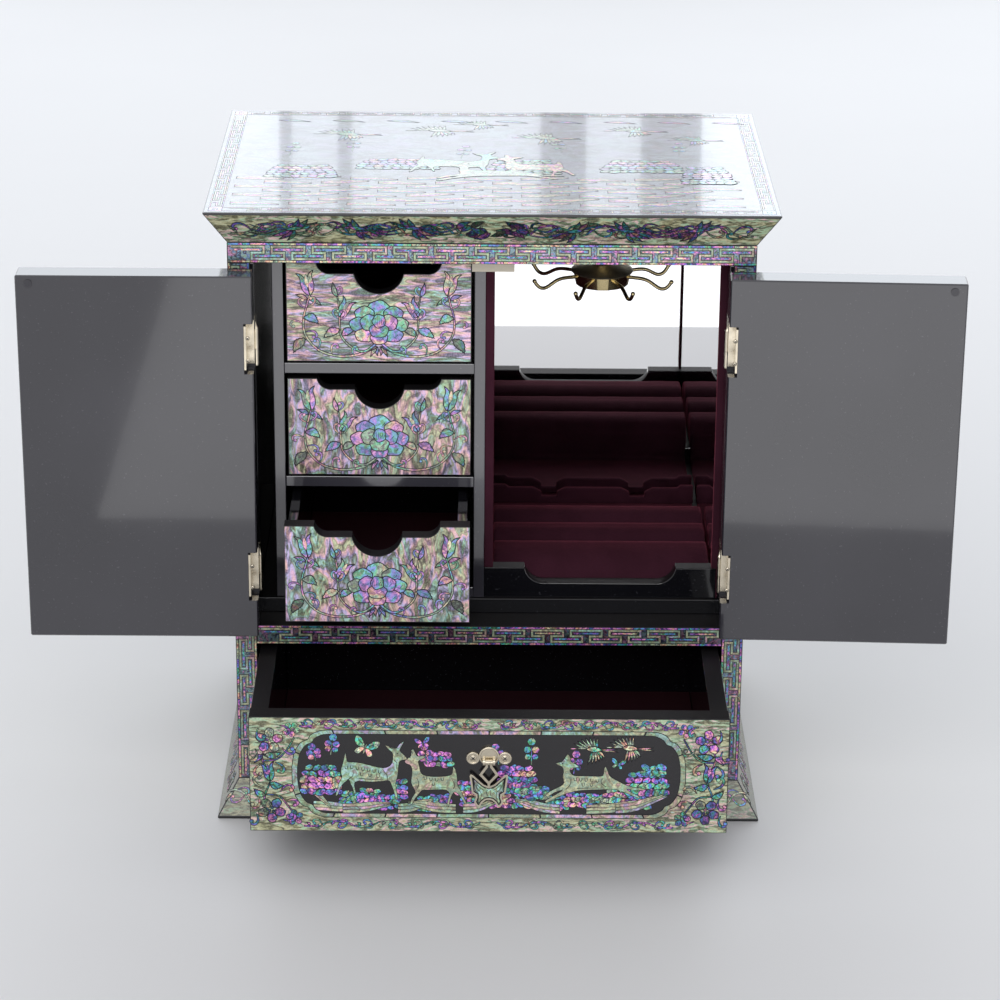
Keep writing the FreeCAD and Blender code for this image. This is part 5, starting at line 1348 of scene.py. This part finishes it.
def world():  # soft air for the light, the pale backdrop for the camera and for reflections
    made = bpy.data.worlds.new("softRoom")
    bpy.context.scene.world = made
    made.use_nodes = True
    tree = made.node_tree
    tree.nodes.clear()
    path = tree.nodes.new("ShaderNodeLightPath")
    lit = tree.nodes.new("ShaderNodeBackground")
    lit.inputs["Color"].default_value = room["air"]
    lit.inputs["Strength"].default_value = room["airStrength"]
    seen = tree.nodes.new("ShaderNodeBackground")
    seen.inputs["Color"].default_value = room["backdrop"]
    seen.inputs["Strength"].default_value = room["backdropStrength"]
    either = tree.nodes.new("ShaderNodeMath")
    either.operation = "MAXIMUM"
    choose = tree.nodes.new("ShaderNodeMixShader")
    out = tree.nodes.new("ShaderNodeOutputWorld")
    tree.links.new(path.outputs["Is Camera Ray"], either.inputs[0])
    tree.links.new(path.outputs["Is Glossy Ray"], either.inputs[1])
    tree.links.new(either.outputs[0], choose.inputs[0])
    tree.links.new(lit.outputs[0], choose.inputs[1])
    tree.links.new(seen.outputs[0], choose.inputs[2])
    tree.links.new(choose.outputs[0], out.inputs[0])


# a rectangle of light that the camera doesn't see
def softLamp(name, spot, aim, size, power, colour=(1, 1, 1)):
    data = bpy.data.lights.new(name, "AREA")
    data.shape = "RECTANGLE"
    data.size, data.size_y = size
    data.energy, data.color = power, colour
    lamp = linked(name, data)
    lamp.location = spot
    lamp.rotation_euler = (Vector(aim) - Vector(spot)).to_track_quat("-Z", "Y").to_euler()
    lamp.visible_camera = False


def tableTop():
    bm = bmesh.new()
    bmesh.ops.create_grid(bm, x_segments=8, y_segments=8, size=1.0)
    bmesh.ops.scale(bm, vec=(room["tableHalf"], room["tableHalf"], 1.0), verts=bm.verts)
    top = linked("tableTop", meshOf(bm, "tableTop"))
    top.data.materials.append(tableMaterial())


photo = {"place": (-0.0057, -2.0548, 0.9714), "yaw": 0.346, "pitch": 21.184, "roll": 0.475, "lens": 119.65}


def photoCamera():  # stands where the photo was taken from
    yaw, pitch, roll = (math.radians(photo[angle]) for angle in ("yaw", "pitch", "roll"))
    ahead = Vector((math.sin(yaw) * math.cos(pitch), math.cos(yaw) * math.cos(pitch), -math.sin(pitch)))
    side = Vector((math.cos(yaw), -math.sin(yaw), 0))
    above = side.cross(ahead)
    right = side * math.cos(roll) + above * math.sin(roll)
    up = above * math.cos(roll) - side * math.sin(roll)
    data = bpy.data.cameras.new("photoCamera")
    data.sensor_width, data.lens = 36, photo["lens"]
    data.clip_start, data.clip_end = 0.05, 50
    camera = linked("photoCamera", data)
    camera.matrix_world = Matrix.Translation(photo["place"]) @ axes(right, up, -ahead)
    bpy.context.scene.camera = camera


world()
tableTop()
photoCamera()
panes = ((-1.2225, 1.855, 19.5), (-0.245, 0.0655, 0.50), (-0.0585, 0.268, 2.1), (0.179, 0.078, 0.60),
         (1.202, 1.796, 22))
for i, (x, width, power) in enumerate(panes):  # daylight from behind, with bars between the panes
    softLamp(f"window{i}", (x, 2.4, 1.55), (x, 0, 0.9), (width, 2.4), power, (0.86, 0.93, 1.0))
softLamp("fill", (-0.6, -3.0, 2.6), (0, 0, 0.2), (3.0, 2.0), 46)
softLamp("floorGlow", (0.645, -1.605, 0.004), (0.645, -1.605, 1), (1.91, 1.89), 8.2)  # what the doors reflect
bpy.context.scene.view_settings.view_transform = "Standard"
print("stage set")
